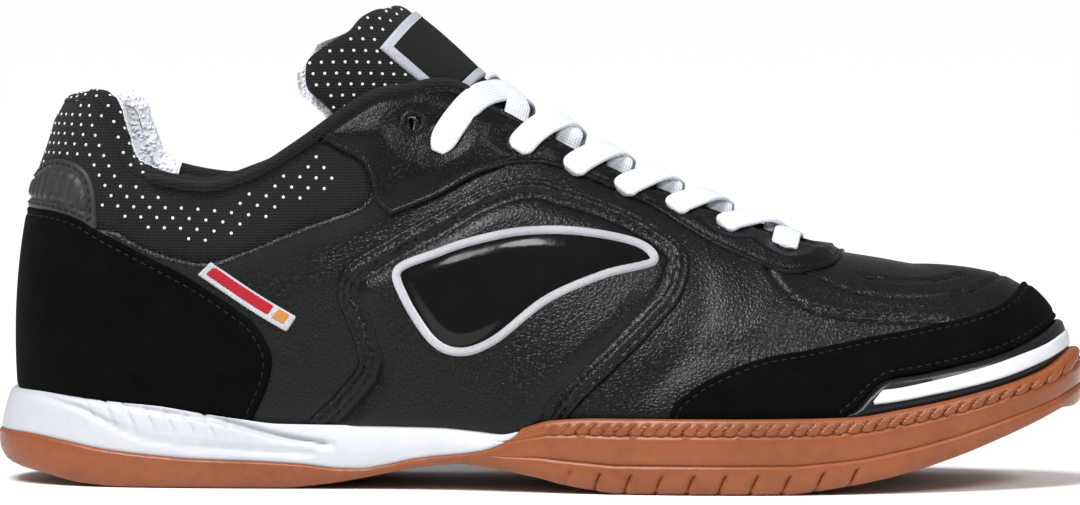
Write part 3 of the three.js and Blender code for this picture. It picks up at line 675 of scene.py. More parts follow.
def make_object(name: str, points: Array, faces: Array, slot: str, material: bpy.types.Material,
                nodes: Iterable[str] = (), uv: Optional[Array] = None) -> bpy.types.Object:
    """Makes a shown piece of the shoe.

    Args:
        name: name of the piece.
        points: vertices in millimetres.
        faces: triangles or four-sided faces.
        slot: the record's material slot; not used.
        material: its finish.
        nodes: CAD nodes that the piece stands for.
        uv: two coordinates for each vertex.

    Returns:
        The object, riding on the shoe.
    """
    mesh = bpy.data.meshes.new(name)
    mesh.from_pydata(to_metres(points).tolist(), [], [[int(corner) for corner in face] for face in faces])
    if uv is not None:
        layer = mesh.uv_layers.new(name="UVMap")
        corners = np.empty(len(mesh.loops), int)
        mesh.loops.foreach_get("vertex_index", corners)
        layer.data.foreach_set("uv", np.asarray(uv, np.float32)[corners].ravel())
    work = bmesh.new()
    work.from_mesh(mesh)
    bmesh.ops.remove_doubles(work, verts=work.verts, dist=WELD)
    bmesh.ops.dissolve_degenerate(work, dist=1e-7, edges=work.edges)
    loose = [vert for vert in work.verts if not vert.link_faces]
    bmesh.ops.delete(work, geom=loose, context="VERTS")
    for face in work.faces:
        face.smooth = True
    work.to_mesh(mesh)
    work.free()
    mesh.materials.append(material)
    piece = show(name, mesh, slot)
    for node in nodes:
        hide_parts(node)
    return piece


def make_panel(name: str, patch: Patch, height: Array, slot: str, material: bpy.types.Material,
               nodes: Iterable[str] = ()) -> bpy.types.Object:
    """Makes a piece from a patch raised along its normals."""
    position, normal = patch.spots()
    uv = patch.coords * np.array((0.01, 0.9))
    return make_object(name, position + normal * height[:, None], patch.faces, slot, material, nodes, uv)


def sweep(path: Array, normal: Array, ring: Array, scale: Array) -> tuple[Array, list]:
    """Carries a ring of points along a path and closes both ends.

    Args:
        path: points (n, 3).
        normal: direction of the ring's second axis at each point.
        ring: points (k, 2) of the section, sideways and along the normal.
        scale: sideways and upward scale (n, 2) of the section.

    Returns:
        Vertices and faces.
    """
    along = unit(np.vstack((path[1:], path[-1:])) - np.vstack((path[:1], path[:-1])))
    side = unit(np.cross(along, normal))
    up = np.cross(side, along)
    points = (path[:, None] + side[:, None] * (ring[None, :, 0:1] * scale[:, None, 0:1])
              + up[:, None] * (ring[None, :, 1:2] * scale[:, None, 1:2]))
    count, size = len(path), len(ring)
    faces = []
    for first in range(0, (count - 1) * size, size):
        for k in range(size):
            m = (k + 1) % size
            faces.append((first + k, first + m, first + size + m, first + size + k))
    flat = points.reshape(-1, 3)
    for first, turn in ((0, 1), ((count - 1) * size, -1)):
        centre = len(flat)
        flat = np.vstack((flat, flat[first:first + size].mean(0)))
        for k in range(size):
            faces.append((centre, first + (k + 1) % size, first + k)[::turn])
    return flat, faces


def oval(width: float, height: float, count: int, power: float) -> Array:
    """Rounded section, squarer for a lower power."""
    angle = np.arange(count) * 2 * np.pi / count
    c, s = np.cos(angle), np.sin(angle)
    across = np.sign(c) * np.abs(c) ** power * width / 2
    return np.stack((across, -np.sign(s) * np.abs(s) ** power * height / 2), axis=1)


class Nodes:
    """Short way of placing and joining nodes in a tree."""

    def __init__(self, tree: bpy.types.NodeTree) -> None:
        """Works on one tree."""
        self.tree = tree

    def add(self, kind: str, inputs: Optional[dict] = None, **settings: object) -> bpy.types.Node:
        """Places a node.

        Args:
            kind: Blender's name for it.
            inputs: values or sockets for its inputs.
            settings: its own settings.

        Returns:
            The node.
        """
        node = self.tree.nodes.new(kind)
        for key, value in settings.items():
            setattr(node, key, value)
        for key, value in (inputs or {}).items():
            if isinstance(value, bpy.types.NodeSocket):
                self.tree.links.new(value, node.inputs[key])
            else:
                node.inputs[key].default_value = value
        return node

    def math(self, operation: str, a: object, b: object = 0.0, c: object = 0.0) -> bpy.types.NodeSocket:
        """Result of a sum on numbers or sockets."""
        return self.add("ShaderNodeMath", {0: a, 1: b, 2: c}, operation=operation).outputs[0]

    def ramp(self, value: bpy.types.NodeSocket, low: float, high: float, to_low: float = 0.0,
             to_high: float = 1.0) -> bpy.types.NodeSocket:
        """Value carried smoothly from one range to another."""
        return self.add("ShaderNodeMapRange",
                        {"Value": value, "From Min": low, "From Max": high, "To Min": to_low,
                                               "To Max": to_high}, interpolation_type="SMOOTHSTEP").outputs[0]


class Pattern(Enum):
    """Fine relief of a finish."""

    GRAIN = "leather_grain"
    NAP = "suede_nap"
    KNIT = "fine_knit"
    LOOPS = "terry_loops"
    WEAVE = "flat_weave"
    THREAD = "satin_thread"
    MOULD = "moulded_skin"


def shader_group(name: str, outputs: Iterable[str]) -> tuple[Nodes, bpy.types.Node, bpy.types.Node]:
    """Nodes, start and end of a new shader group that takes a vector and a scale."""
    group = bpy.data.node_groups.new(name, "ShaderNodeTree")
    for key in ("Vector", "Scale"):
        kind = "NodeSocketVector" if key == "Vector" else "NodeSocketFloat"
        group.interface.new_socket(key, in_out="INPUT", socket_type=kind)
    for key in outputs:
        group.interface.new_socket(key, in_out="OUTPUT", socket_type="NodeSocketFloat")
    made = Nodes(group)
    return made, made.add("NodeGroupInput"), made.add("NodeGroupOutput")


@cache
def pattern_group(pattern: Pattern) -> bpy.types.NodeTree:
    """Shader group that gives a relief's height and a mask of its hollows, where shade is painted into the
    colour, built once for each pattern.
    """
    made, start, end = shader_group(pattern.value, ("Height", "Hollow"))
    vector = made.add("ShaderNodeVectorMath", {0: start.outputs["Vector"], "Scale": start.outputs["Scale"]},
                      operation="SCALE").outputs[0]

    def noise(at: bpy.types.NodeSocket, scale: float, detail: float = 2.0) -> bpy.types.NodeSocket:
        """Noise in cells of the pattern."""
        return made.add("ShaderNodeTexNoise",
                        {"Vector": at, "Scale": scale, "Detail": detail}).outputs["Fac"]

    def warped(amount: float, scale: float) -> bpy.types.NodeSocket:
        """Coordinates pushed about by noise."""
        push = made.add("ShaderNodeTexNoise",
                        {"Vector": vector, "Scale": scale, "Detail": 1.0}).outputs["Color"]
        push = made.add("ShaderNodeVectorMath", {0: push, "Scale": amount}, operation="SCALE").outputs[0]
        return made.add("ShaderNodeVectorMath", {0: vector, 1: push}, operation="ADD").outputs[0]

    # For the grain, loops, knit, weave and thread, the hollow mask marks the relief's low parts, where shade
    # is painted into the colour; for the nap and the moulded skin it is plain noise, a random tone.
    if pattern is Pattern.GRAIN:
        cells = made.add("ShaderNodeTexVoronoi",
                         {"Vector": warped(0.9, 0.8), "Scale": 1.0, "Randomness": 1.0},
                         feature="DISTANCE_TO_EDGE").outputs["Distance"]
        pebble = made.ramp(cells, 0.0, 0.32)
        height = made.math("MULTIPLY_ADD", noise(vector, 0.45), 0.7, made.math("MULTIPLY", pebble, 0.75))
        hollow = made.ramp(cells, 0.0, 0.16, 1.0, 0.0)
    elif pattern is Pattern.NAP:
        height = made.math("ADD", noise(vector, 1.0, 4.0), made.math("MULTIPLY", noise(vector, 0.12), 0.8))
        hollow = made.ramp(noise(vector, 0.1, 3.0), 0.4, 0.66)
    elif pattern is Pattern.LOOPS:
        cells = made.add("ShaderNodeTexVoronoi",
                         {"Vector": warped(0.8, 1.0), "Scale": 1.0, "Smoothness": 0.5},
                         feature="SMOOTH_F1").outputs["Distance"]
        height = made.math("MULTIPLY_ADD", noise(vector, 0.4, 3.0), 0.8, made.ramp(cells, 0.7, 0.0))
        hollow = made.ramp(cells, 0.35, 0.8)
    elif pattern in (Pattern.KNIT, Pattern.WEAVE, Pattern.THREAD):
        split = made.add("ShaderNodeSeparateXYZ", {0: vector})
        x, y = split.outputs[0], split.outputs[1]
        if pattern is Pattern.KNIT:
            x, y = made.math("ADD", x, y), split.outputs[2]
        one = made.math("SINE", made.math("MULTIPLY", made.math("ADD", x, y), math.pi))
        two = made.math("SINE", made.math("MULTIPLY", made.math("SUBTRACT", x, y), math.pi))
        if pattern is Pattern.THREAD:
            one = two = made.math("SINE", made.math("MULTIPLY", x, 2 * math.pi))
        both = made.math("MULTIPLY", one, two)
        height = made.math("MULTIPLY_ADD", noise(vector, 1.3, 3.0), 0.9, made.math("MULTIPLY", both, 0.5))
        hollow = made.ramp(both, -0.2, -0.9)
    else:
        height = made.math("MULTIPLY_ADD", noise(vector, 6.0), 0.15, noise(vector, 1.0, 3.0))
        hollow = made.ramp(noise(vector, 0.6, 3.0), 0.45, 0.7)
    made.tree.links.new(height, end.inputs["Height"])
    made.tree.links.new(hollow, end.inputs["Hollow"])
    return made.tree


@cache
def handling_group() -> bpy.types.NodeTree:
    """Shader group that gives the blotches of colour and the soft scuffs of handled material, built once."""
    made, start, end = shader_group("handling", ("Blotch", "Scuff"))
    vector, scale = start.outputs["Vector"], start.outputs["Scale"]
    broad = made.add("ShaderNodeTexNoise", {"Vector": vector, "Scale": scale, "Detail": 3.0}).outputs["Fac"]
    fine = made.add("ShaderNodeTexNoise",
                    {"Vector": vector, "Scale": made.math("MULTIPLY", scale, 9.0), "Detail": 4.0,
                                           "Roughness": 0.7}).outputs["Fac"]
    scuff = made.math("MULTIPLY", made.ramp(fine, 0.52, 0.75), made.ramp(broad, 0.4, 0.7))
    made.tree.links.new(made.ramp(broad, 0.32, 0.68), end.inputs["Blotch"])
    made.tree.links.new(scuff, end.inputs["Scuff"])
    return made.tree


@dataclass(frozen=True)
class Finish:
    """A material of the shoe: colours in linear light, the second one painted as shade in relief hollows and
    in random blotches, and relief sizes in millimetres.
    """

    name: str
    colour: tuple[float, float, float]
    hollow_shade_and_blotch: tuple[float, float, float]
    roughness: tuple[float, float]
    pattern: Pattern
    cell: float
    depth: float
    blotch: float = 14.0
    coat: float = 0.0
    sheen: float = 0.0
    specular: float = 0.5
    hollow: float = 0.4
    on_uv: bool = False

    @cache
    def material(self) -> bpy.types.Material:
        """The finish as a material, made once."""
        material = bpy.data.materials.new(self.name)
        material.use_nodes = True
        made = Nodes(material.node_tree)
        shader = material.node_tree.nodes["Principled BSDF"]
        coords = made.add("ShaderNodeTexCoord")
        vector = coords.outputs["Object"]
        relief = made.add("ShaderNodeGroup", node_tree=pattern_group(self.pattern))
        relief.inputs["Scale"].default_value = (100 if self.on_uv else 1000) / self.cell
        material.node_tree.links.new(coords.outputs["UV"] if self.on_uv else vector,
                                     relief.inputs["Vector"])
        handling = made.add("ShaderNodeGroup", {"Vector": vector, "Scale": 1000 / self.blotch},
                            node_tree=handling_group())
        # Colour mix: painted shade in the relief's hollows, weighted by the finish's hollow share, mixed with
        # random blotches of tone.
        mask = made.math("MULTIPLY_ADD", relief.outputs["Hollow"], self.hollow,
                         made.math("MULTIPLY", handling.outputs["Blotch"], 1 - self.hollow))
        colour = made.add("ShaderNodeMix", {0: mask, 6: (*self.colour, 1), 7: (*self.hollow_shade_and_blotch, 1)},
                          data_type="RGBA")
        rough = made.ramp(made.math("ADD", handling.outputs["Scuff"], made.math("MULTIPLY", mask, 0.5)),
                          0.0, 1.0,
                          self.roughness[0], self.roughness[1])
        bump = made.add("ShaderNodeBump",
                        {"Height": relief.outputs["Height"], "Distance": self.depth / 1000,
                                           "Strength": 1.0})
        fed = {"Base Color": colour.outputs[2], "Roughness": rough, "Normal": bump.outputs[0]}
        for key, socket in fed.items():
            material.node_tree.links.new(socket, shader.inputs[key])
        plain = {"Coat Weight": self.coat, "Coat Roughness": 0.06, "Sheen Weight": self.sheen,
                 "Specular IOR Level": self.specular}
        for key, value in plain.items():
            shader.inputs[key].default_value = value
        return material


# Each finish's second colour is painted as shade into the hollows of a grain, loop, knit, weave or thread
# relief, and as random tone into blotches and noise.
LEATHER = Finish("black_leather", (0.005, 0.005, 0.0055), (0.0025, 0.0025, 0.003), (0.29, 0.42),
                 Pattern.GRAIN, 1.1,
                 0.08, specular=0.21)
SMOOTH_LEATHER = Finish("smooth_black_leather", (0.0045, 0.0045, 0.005), (0.0025, 0.0025, 0.003),
                        (0.27, 0.39),
                        Pattern.GRAIN, 0.9, 0.06, specular=0.15)
SUEDE = Finish("black_suede", (0.0024, 0.0024, 0.0026), (0.001, 0.001, 0.0012), (0.9, 1.0), Pattern.NAP,
               0.9, 0.2,
               sheen=0.006, specular=0.05)
KNIT = Finish("black_knit", (0.011, 0.011, 0.0115), (0.002, 0.002, 0.0023), (0.8, 0.95), Pattern.KNIT, 0.8,
              0.3,
              sheen=0.04, specular=0.15, hollow=0.7)
BINDING = Finish("black_binding", (0.011, 0.011, 0.0115), (0.003, 0.003, 0.0033), (0.75, 0.95),
                 Pattern.KNIT, 0.9, 0.3,
                 sheen=0.05, specular=0.15, hollow=0.7)
TERRY = Finish("white_terry", (0.86, 0.88, 0.92), (0.7, 0.73, 0.78), (0.9, 1.0), Pattern.LOOPS, 1.3, 0.5,
               sheen=0.3,
               specular=0.2)
PATENT = Finish("black_patent", (0.003, 0.003, 0.0034), (0.002, 0.002, 0.002), (0.12, 0.2), Pattern.MOULD,
                6.0, 0.12,
                coat=0.3, specular=0.1)
RUBBER = Finish("black_rubber", (0.008, 0.008, 0.009), (0.005, 0.005, 0.006), (0.3, 0.42), Pattern.MOULD,
                3.0, 0.05,
                coat=0.1, specular=0.2)
RIBBED = Finish("grey_ribbed_cover", (0.03, 0.03, 0.032), (0.016, 0.016, 0.018), (0.45, 0.6), Pattern.MOULD,
                1.2, 0.03,
                specular=0.25)
SATIN = Finish("white_embroidery", (0.74, 0.75, 0.79), (0.5, 0.52, 0.57), (0.5, 0.7), Pattern.THREAD, 0.7,
               0.55,
               sheen=0.15, on_uv=True)
PAINT = Finish("white_stripe", (0.6, 0.61, 0.65), (0.55, 0.57, 0.61), (0.3, 0.42), Pattern.MOULD, 4.0, 0.04,
               coat=0.15)
FOAM = Finish("white_foam", (0.47, 0.48, 0.515), (0.42, 0.435, 0.48), (0.42, 0.6), Pattern.MOULD, 2.2, 0.05)
GUM = Finish("gum_rubber", (0.235, 0.065, 0.02), (0.18, 0.048, 0.015), (0.34, 0.5), Pattern.MOULD, 1.6,
             0.06,
             specular=0.35)
LACE = Finish("white_lace", (0.66, 0.68, 0.72), (0.5, 0.53, 0.6), (0.75, 0.9), Pattern.WEAVE, 0.8, 0.16,
              sheen=0.2,
              hollow=0.6, on_uv=True)
RED = Finish("red_weave", (0.36, 0.009, 0.02), (0.26, 0.006, 0.014), (0.6, 0.8), Pattern.WEAVE, 0.5, 0.08,
             specular=0.2, on_uv=True)
GOLD = Finish("gold_weave", (0.5, 0.22, 0.05), (0.32, 0.12, 0.025), (0.5, 0.7), Pattern.WEAVE, 0.4, 0.08,
              specular=0.2, on_uv=True)
LABEL_EDGE = Finish("grey_weave", (0.5, 0.51, 0.56), (0.34, 0.35, 0.4), (0.6, 0.8), Pattern.WEAVE, 0.6,
                    0.15, on_uv=True)
LABEL_FACE = Finish("black_weave", (0.006, 0.006, 0.0065), (0.003, 0.003, 0.003), (0.5, 0.7), Pattern.WEAVE,
                    0.5, 0.08,
                    specular=0.2, on_uv=True)
THREAD = Finish("black_thread", (0.009, 0.009, 0.0095), (0.005, 0.005, 0.005), (0.4, 0.6), Pattern.NAP, 0.5,
                0.05,
                specular=0.15)
DOT = Finish("white_dot", (0.7, 0.71, 0.73), (0.6, 0.61, 0.63), (0.5, 0.7), Pattern.NAP, 0.4, 0.04)


def group_tree(name: str, sizes: dict[str, float]) -> tuple[Nodes, bpy.types.Node, bpy.types.Node]:
    """Nodes, start and end of a new geometry tree with named sizes and a material among its inputs."""
    tree = bpy.data.node_groups.new(name, "GeometryNodeTree")
    tree.interface.new_socket("Geometry", in_out="INPUT", socket_type="NodeSocketGeometry")
    for key, value in sizes.items():
        socket = tree.interface.new_socket(key, in_out="INPUT", socket_type="NodeSocketFloat")
        socket.default_value = value
    tree.interface.new_socket("Material", in_out="INPUT", socket_type="NodeSocketMaterial")
    tree.interface.new_socket("Geometry", in_out="OUTPUT", socket_type="NodeSocketGeometry")
    made = Nodes(tree)
    return made, made.add("NodeGroupInput"), made.add("NodeGroupOutput")


def stand_on(made: Nodes, start: bpy.types.Node, end: bpy.types.Node, points: bpy.types.NodeSocket,
             shape: bpy.types.NodeSocket, sizes: Sequence[str],
             along: Optional[bpy.types.NodeSocket] = None) -> None:
    """Stands a shape on the surface at each point and ends the tree in real, dressed geometry.

    Args:
        made: the tree's nodes.
        start: the tree's inputs.
        end: the tree's output.
        points: where the shape goes.
        shape: a mesh of size 1.
        sizes: names of the inputs that scale it along its three axes.
        along: direction of its first axis, where it follows a path.
    """
    stand = made.add("GeometryNodeInputNamedAttribute", {"Name": "stand"},
                     data_type="FLOAT_VECTOR").outputs[0]
    axes = {"Primary Axis": stand}
    if along:
        axes["Secondary Axis"] = along
    turned = made.add("FunctionNodeAxesToRotation", axes, primary_axis="Z", secondary_axis="X").outputs[0]
    rounded = made.add("GeometryNodeSetShadeSmooth", {0: shape}).outputs[0]
    size = made.add("ShaderNodeCombineXYZ",
                    {axis: start.outputs[key] for axis, key in enumerate(sizes)}).outputs[0]
    placed = made.add("GeometryNodeInstanceOnPoints",
                      {"Points": points, "Instance": rounded, "Rotation": turned,
                                                       "Scale": size}).outputs[0]
    real = made.add("GeometryNodeRealizeInstances", {0: placed}).outputs[0]
    dressed = made.add("GeometryNodeSetMaterial", {"Geometry": real, "Material": start.outputs["Material"]})
    made.tree.links.new(dressed.outputs[0], end.inputs[0])


def stitch_tree() -> bpy.types.NodeTree:
    """Stitches laid end to end along edges."""
    made, start, end = group_tree("stitches", {"Pitch": 0.0026, "Length": 0.0019, "Thickness": 0.0005})
    path = made.add("GeometryNodeMeshToCurve", {0: start.outputs["Geometry"]}).outputs[0]
    even = made.add("GeometryNodeResampleCurve", {"Curve": path, "Length": start.outputs["Pitch"]},
                    mode="LENGTH")
    along = made.add("GeometryNodeInputTangent").outputs[0]
    ball = made.add("GeometryNodeMeshIcoSphere", {"Radius": 0.5, "Subdivisions": 2}).outputs["Mesh"]
    stand_on(made, start, end, even.outputs[0], ball, ("Length", "Thickness", "Thickness"), along)
    return made.tree


@cache
def dot_tree() -> bpy.types.NodeTree:
    """Small domed dots on points."""
    made, start, end = group_tree("dots", {"Width": 0.0011, "Rise": 0.0003})
    dome = made.add("GeometryNodeMeshUVSphere", {"Segments": 8, "Rings": 4, "Radius": 0.5}).outputs["Mesh"]
    stand_on(made, start, end, start.outputs["Geometry"], dome, ("Width", "Width", "Rise"))
    return made.tree


def repeat(name: str, tree: bpy.types.NodeTree, points: Array, normals: Array, edges: list,
           sizes: dict[str, float],
           finish: Finish, slot: str) -> bpy.types.Object:
    """Runs a geometry tree over points or edges and keeps the result as a plain mesh.

    Args:
        name: name of the piece.
        tree: what repeats.
        points: places in millimetres.
        normals: the surface's normals there.
        edges: pairs of points for paths, or none for separate places.
        sizes: values for the tree's named inputs, in metres.
        finish: the piece's finish.
        slot: the record's material slot; not used.

    Returns:
        The object, riding on the shoe.
    """
    seed = bpy.data.meshes.new(name + "_places")
    seed.from_pydata(to_metres(points).tolist(), edges, [])
    stand = seed.attributes.new("stand", "FLOAT_VECTOR", "POINT")
    stand.data.foreach_set("vector", np.asarray(normals, np.float32).ravel())
    holder = link(name + "_places", seed)
    modifier = holder.modifiers.new("repeat", "NODES")
    modifier.node_group = tree
    for item in tree.interface.items_tree:
        if item.in_out == "INPUT" and item.name != "Geometry":
            modifier[item.identifier] = {**sizes, "Material": finish.material()}[item.name]
    bpy.context.view_layer.update()
    ready = holder.evaluated_get(bpy.context.evaluated_depsgraph_get())
    mesh = bpy.data.meshes.new_from_object(ready)
    mesh.name = name
    bpy.data.objects.remove(holder)
    bpy.data.meshes.remove(seed)
    return show(name, mesh, slot)


def dot_piece(name: str, points: Array, normals: Array) -> None:
    """Makes white dots at places on a knit."""
    repeat(name, dot_tree(), points, normals, [], {"Width": 0.0009, "Rise": 0.0004}, DOT, "textile")


@dataclass
class Stitching:
    """Gathers seam lines and sews them as one piece."""

    points: list = field(default_factory=list)
    normals: list = field(default_factory=list)
    edges: list = field(default_factory=list)

    def add(self, points: Array, normals: Array) -> None:
        """Adds a seam line that lies on the surface."""
        if len(points) < 3:
            return
        eased = points.copy()
        ease(eased, 3)
        first = sum(len(p) for p in self.points)
        self.points.append(eased)
        self.normals.append(normals)
        self.edges += [(first + i, first + i + 1) for i in range(len(points) - 1)]

    def sew(self) -> None:
        """Makes the stitches."""
        sizes = {"Pitch": 0.0026, "Length": 0.0019, "Thickness": 0.0005}
        points, normals = np.concatenate(self.points), np.concatenate(self.normals)
        repeat("seams", stitch_tree(), points, normals, self.edges, sizes, THREAD, "leather")


class Region(Enum):
    """Part of the way round the foot, as shares of it, in which an outline is read."""

    OUTER = (0.0, 0.5)
    INNER = (0.5, 1.0)
    TOE = (0.2, 0.8)
    HEEL = (-0.3, 0.3)
    ROUND = (0.0, 1.0)


SIDES = {Region.OUTER: "outer", Region.INNER: "inner"}
COLLAR_LINE: Rows = (
    (-0.068, 0.99, 1), (0.05, 0.995), (0.085, 1.016), (0.099, 1.01), (0.107, 0.985), (0.115, 0.905),
    (0.127, 0.815), (0.151, 0.779), (0.197, 0.767), (0.224, 0.795), (0.253, 0.846), (0.289, 0.931),
    (0.33, 1.03), (0.365, 1.076), (0.387, 1.092), (0.404, 1.091, 1), (0.43, 1.3, 1), (0.43, 1.9, 1),
    (-0.068, 1.9, 1),
)
KNIT_OUTLINE: Rows = (
    (-0.05, 0.6, 1), (0.104, 0.607), (0.133, 0.582), (0.154, 0.555), (0.2, 0.534), (0.234, 0.583),
    (0.273, 0.649),
    (0.313, 0.704), (0.345, 0.735), (0.357, 0.775, 1), (0.352, 0.83), (0.344, 0.878), (0.324, 0.925),
    (0.309, 0.965, 1), (0.309, 1.9, 1), (-0.05, 1.9, 1),
)
DOTTED_OUTLINE: Rows = (
    (-0.05, 0.62, 1), (0.1, 0.66), (0.13, 0.645), (0.16, 0.62), (0.2, 0.605), (0.235, 0.655), (0.27, 0.72),
    (0.3, 0.77), (0.335, 0.81, 1), (0.322, 0.88), (0.305, 0.935, 1), (0.305, 1.9, 1), (-0.05, 1.9, 1),
)
VAMP_SEAM: Rows = (
    (0.693, 0.63), (0.699, 0.596), (0.705, 0.556), (0.713, 0.515), (0.722, 0.475), (0.732, 0.441),
    (0.746, 0.409),
    (0.76, 0.388), (0.791, 0.358), (0.836, 0.324), (0.877, 0.287),
)
TOE_ARC: Rows = (
    (0.744, 0.497), (0.763, 0.471), (0.781, 0.441), (0.799, 0.417), (0.835, 0.383), (0.871, 0.358),
    (0.889, 0.351), (0.914, 0.352), (0.93, 0.362),
)
TOE_ARC_HIGH: Rows = ((0.798, 0.462), (0.816, 0.445), (0.834, 0.428), (0.852, 0.415), (0.87, 0.405),
                      (0.888, 0.402))
PINHOLES = ((0.276, 0.205), (0.306, 0.194), (0.297, 0.292))


def throat_outline() -> Array:
    """Opening of the throat seen from above."""
    share = np.linspace(0.3, 0.756, 90)
    width = SIZES.ball_width * THROAT_WIDTH(share)
    middle = SIZES.ball_width * CREST(share)
    x = share * SIZES.length
    end = np.array([[0.7585 * SIZES.length, SIZES.ball_width * float(CREST(0.7585))]])
    return np.vstack((np.stack((x, middle - width), 1), end, np.stack((x, middle + width), 1)[::-1]))


def soft_least(a: Array, b: Array, reach: float) -> Array:
    """Least of two values, rounded where they are close."""
    gap = np.clip(0.5 + 0.5 * (b - a) / reach, 0, 1)
    return b + (a - b) * gap - reach * gap * (1 - gap)


class FormSheet:
    """Patches of the last's form, and the openings that every layer on it shares."""

    def __init__(self) -> None:
        """Lays out the openings and the eyelets."""
        self.collar = side_points(COLLAR_LINE)
        self.throat = throat_outline()
        s = np.linspace(0, LAST.period, 200)
        patch = Patch.grid(LAST, s, np.linspace(0, 1, 34))
        position, _ = patch.spots()
        self.tree = BVHTree.FromPolygons([Vector(p) for p in position], patch.faces.tolist())
        self.guide = {side: self.grid_in(side, 4.0) for side in SIDES}
        self.spare = self.eyelet_pair(SPARE_EYELET[0], SPARE_EYELET[1] * SIZES.ball_width)
        self.eyelets = [
            self.eyelet_pair(share, float(SIZES.ball_width * THROAT_WIDTH(share)) + SIZES.eyelet_inset)
            for share in EYELETS_AT
        ]

    def top(self, x: float, y: float) -> tuple[Array, Array]:
        """Highest point of the form above a place, with its normal."""
        point, normal, _, _ = self.tree.ray_cast(Vector((x, y, 400)), Vector((0, 0, -1)))
        turned = np.array(normal) * (1 if normal.z > 0 else -1)
        return np.array(point), turned

    def eyelet_pair(self, share: float, reach: float) -> list[Array]:
        """Outer and inner eyelet centres at a share of the length."""
        middle = float(SIZES.ball_width * CREST(share))
        return [self.top(share * SIZES.length, middle + side * reach)[0] for side in (-1, 1)]

    @staticmethod
    def grid_in(region: Region, cell: float, low: float = 0.0, high: float = 1.0,
                window: Optional[tuple[float, float]] = None) -> Patch:
        """Even grid over part of the form."""
        start, end = window or (region.value[0] * LAST.period, region.value[1] * LAST.period)
        length = LAST.rib_length((start + end) / 2) * (high - low)
        a = np.linspace(start, end, max(4, int((end - start) / cell) + 1))
        return Patch.grid(LAST, a, np.linspace(low, high, max(4, int(length / cell) + 1)))

    def over(self, mark: Callable[[Array, Array], Array], region: Region, cell: float) -> Patch:
        """Fine patch over the part of a region where a mark is positive.

        Args:
            mark: distance inside an outline from positions and normals.
            region: where to look.
            cell: size of the triangles.

        Returns:
            The patch, with the mark "in".
        """
        coarse = self.grid_in(region, 4.0)
        near = coarse.coords[mark(*coarse.spots()) > -5]
        start, end = region.value[0] * LAST.period, region.value[1] * LAST.period
        a_low, a_high = max(start, near[:, 0].min() - 6), min(end, near[:, 0].max() + 6)
        b_low, b_high = max(0.0, near[:, 1].min() - 0.07), min(1.0, near[:, 1].max() + 0.07)
        patch = self.grid_in(region, cell, b_low, b_high, (a_low, a_high))
        patch.marks["in"] = mark(*patch.spots())
        patch.near("in", 2.0)
        return patch

    def open_mark(self, position: Array, normal: Array, eyelets: bool = True) -> Array:
        """Distance outside the collar's opening, the throat and the eyelets."""
        collar = -on_surface(position, normal, self.collar)
        throat = np.full(len(position), 30.0)
        high = (position[:, 2] > 38) & (position[:, 0] > 60)
        throat[high] = -on_surface(position[high], normal[high], self.throat, view=View.TOP)
        away = soft_least(collar, throat, 5.0)
        if eyelets:
            for centre in (eyelet for pair in (self.spare, *self.eyelets) for eyelet in pair):
                away = np.minimum(away, np.linalg.norm(position - centre, axis=1) - SIZES.eyelet / 2)
        return away

    def from_side(self, points: Array, side: Region) -> Array:
        """Coordinates on one side of the form of points given in the side view."""
        patch = self.guide[side]
        position, _ = patch.spots()
        gap = ((points[:, None] - position[None][..., [0, 2]]) ** 2).sum(2)
        found = patch.coords[gap.argmin(1)].copy()
        for _ in range(8):
            here = LAST.point(found[:, 0], found[:, 1])[:, [0, 2]]
            by_a = (LAST.point(found[:, 0] + 0.2, found[:, 1])[:, [0, 2]] - here) / 0.2
            by_b = (LAST.point(found[:, 0], np.clip(found[:, 1] - 0.002, 0, 1))[:, [0, 2]] - here) / -0.002
            miss = points - here
            spread = by_a[:, 0] * by_b[:, 1] - by_a[:, 1] * by_b[:, 0]
            spread = np.where(np.abs(spread) < 1e-3, 1e-3, spread)
            step_a = (miss[:, 0] * by_b[:, 1] - miss[:, 1] * by_b[:, 0]) / spread
            step_b = (by_a[:, 0] * miss[:, 1] - by_a[:, 1] * miss[:, 0]) / spread
            found[:, 0] += np.clip(step_a, -6, 6)
            found[:, 1] = np.clip(found[:, 1] + np.clip(step_b, -0.08, 0.08), 0.002, 1)
        return found

    def side_path(self, rows: Rows, side: Region) -> tuple[Array, Array]:
        """Positions and normals along a line drawn in the side view."""
        coords = self.from_side(side_line(rows), side)
        return LAST.place(coords[:, 0], coords[:, 1])


def wall_at(position: Array) -> Array:
    """Thickness of the leather wall, padded inside the collar round the heel."""
    share = position[:, 0] / SIZES.length
    up = (position[:, 2] - bed_at(share)) / local_height(share)
    return SIZES.wall + (SIZES.collar_pad - SIZES.wall) * (1 - smooth(0.24, 0.3, share)) * smooth(0.45,
                                                                                                  0.75, up)


def fluff(position: Array) -> Array:
    """Uneven height of brushed loops, in millimetres."""
    x, y, z = position[:, 0], position[:, 1], position[:, 2]
    coarse = np.sin(1.7 * x + 0.9 * z) * np.sin(1.9 * z - 0.6 * y)
    return 0.28 * coarse + 0.24 * np.sin(3.3 * y + 1.6 * x) * np.sin(2.9 * z + 0.8 * x)


def over_rim(position: Array) -> Array:
    """Share of a cover's height that shows, falling to none inside the sole."""
    rim = SIZES.bed * SOLE_RIM(position[:, 0] / SIZES.length)
    return smooth(-3.0, 1.2, position[:, 2] - rim)


def knit_height(position: Array, depth: Array, away: Array) -> Array:
    """Height of the knit at a depth inside its seam and a distance from the opening."""
    swell = smooth(1.0, 9.0, depth) * smooth(1.0, 6.0, away)
    wave = 0.5 + 0.25 * np.sin(position[:, 0] * 0.33 + position[:, 2] * 0.21)
    return wave * swell - 0.7 * bell(depth, 1.6) - 0.2 * bell(away, 2.0)


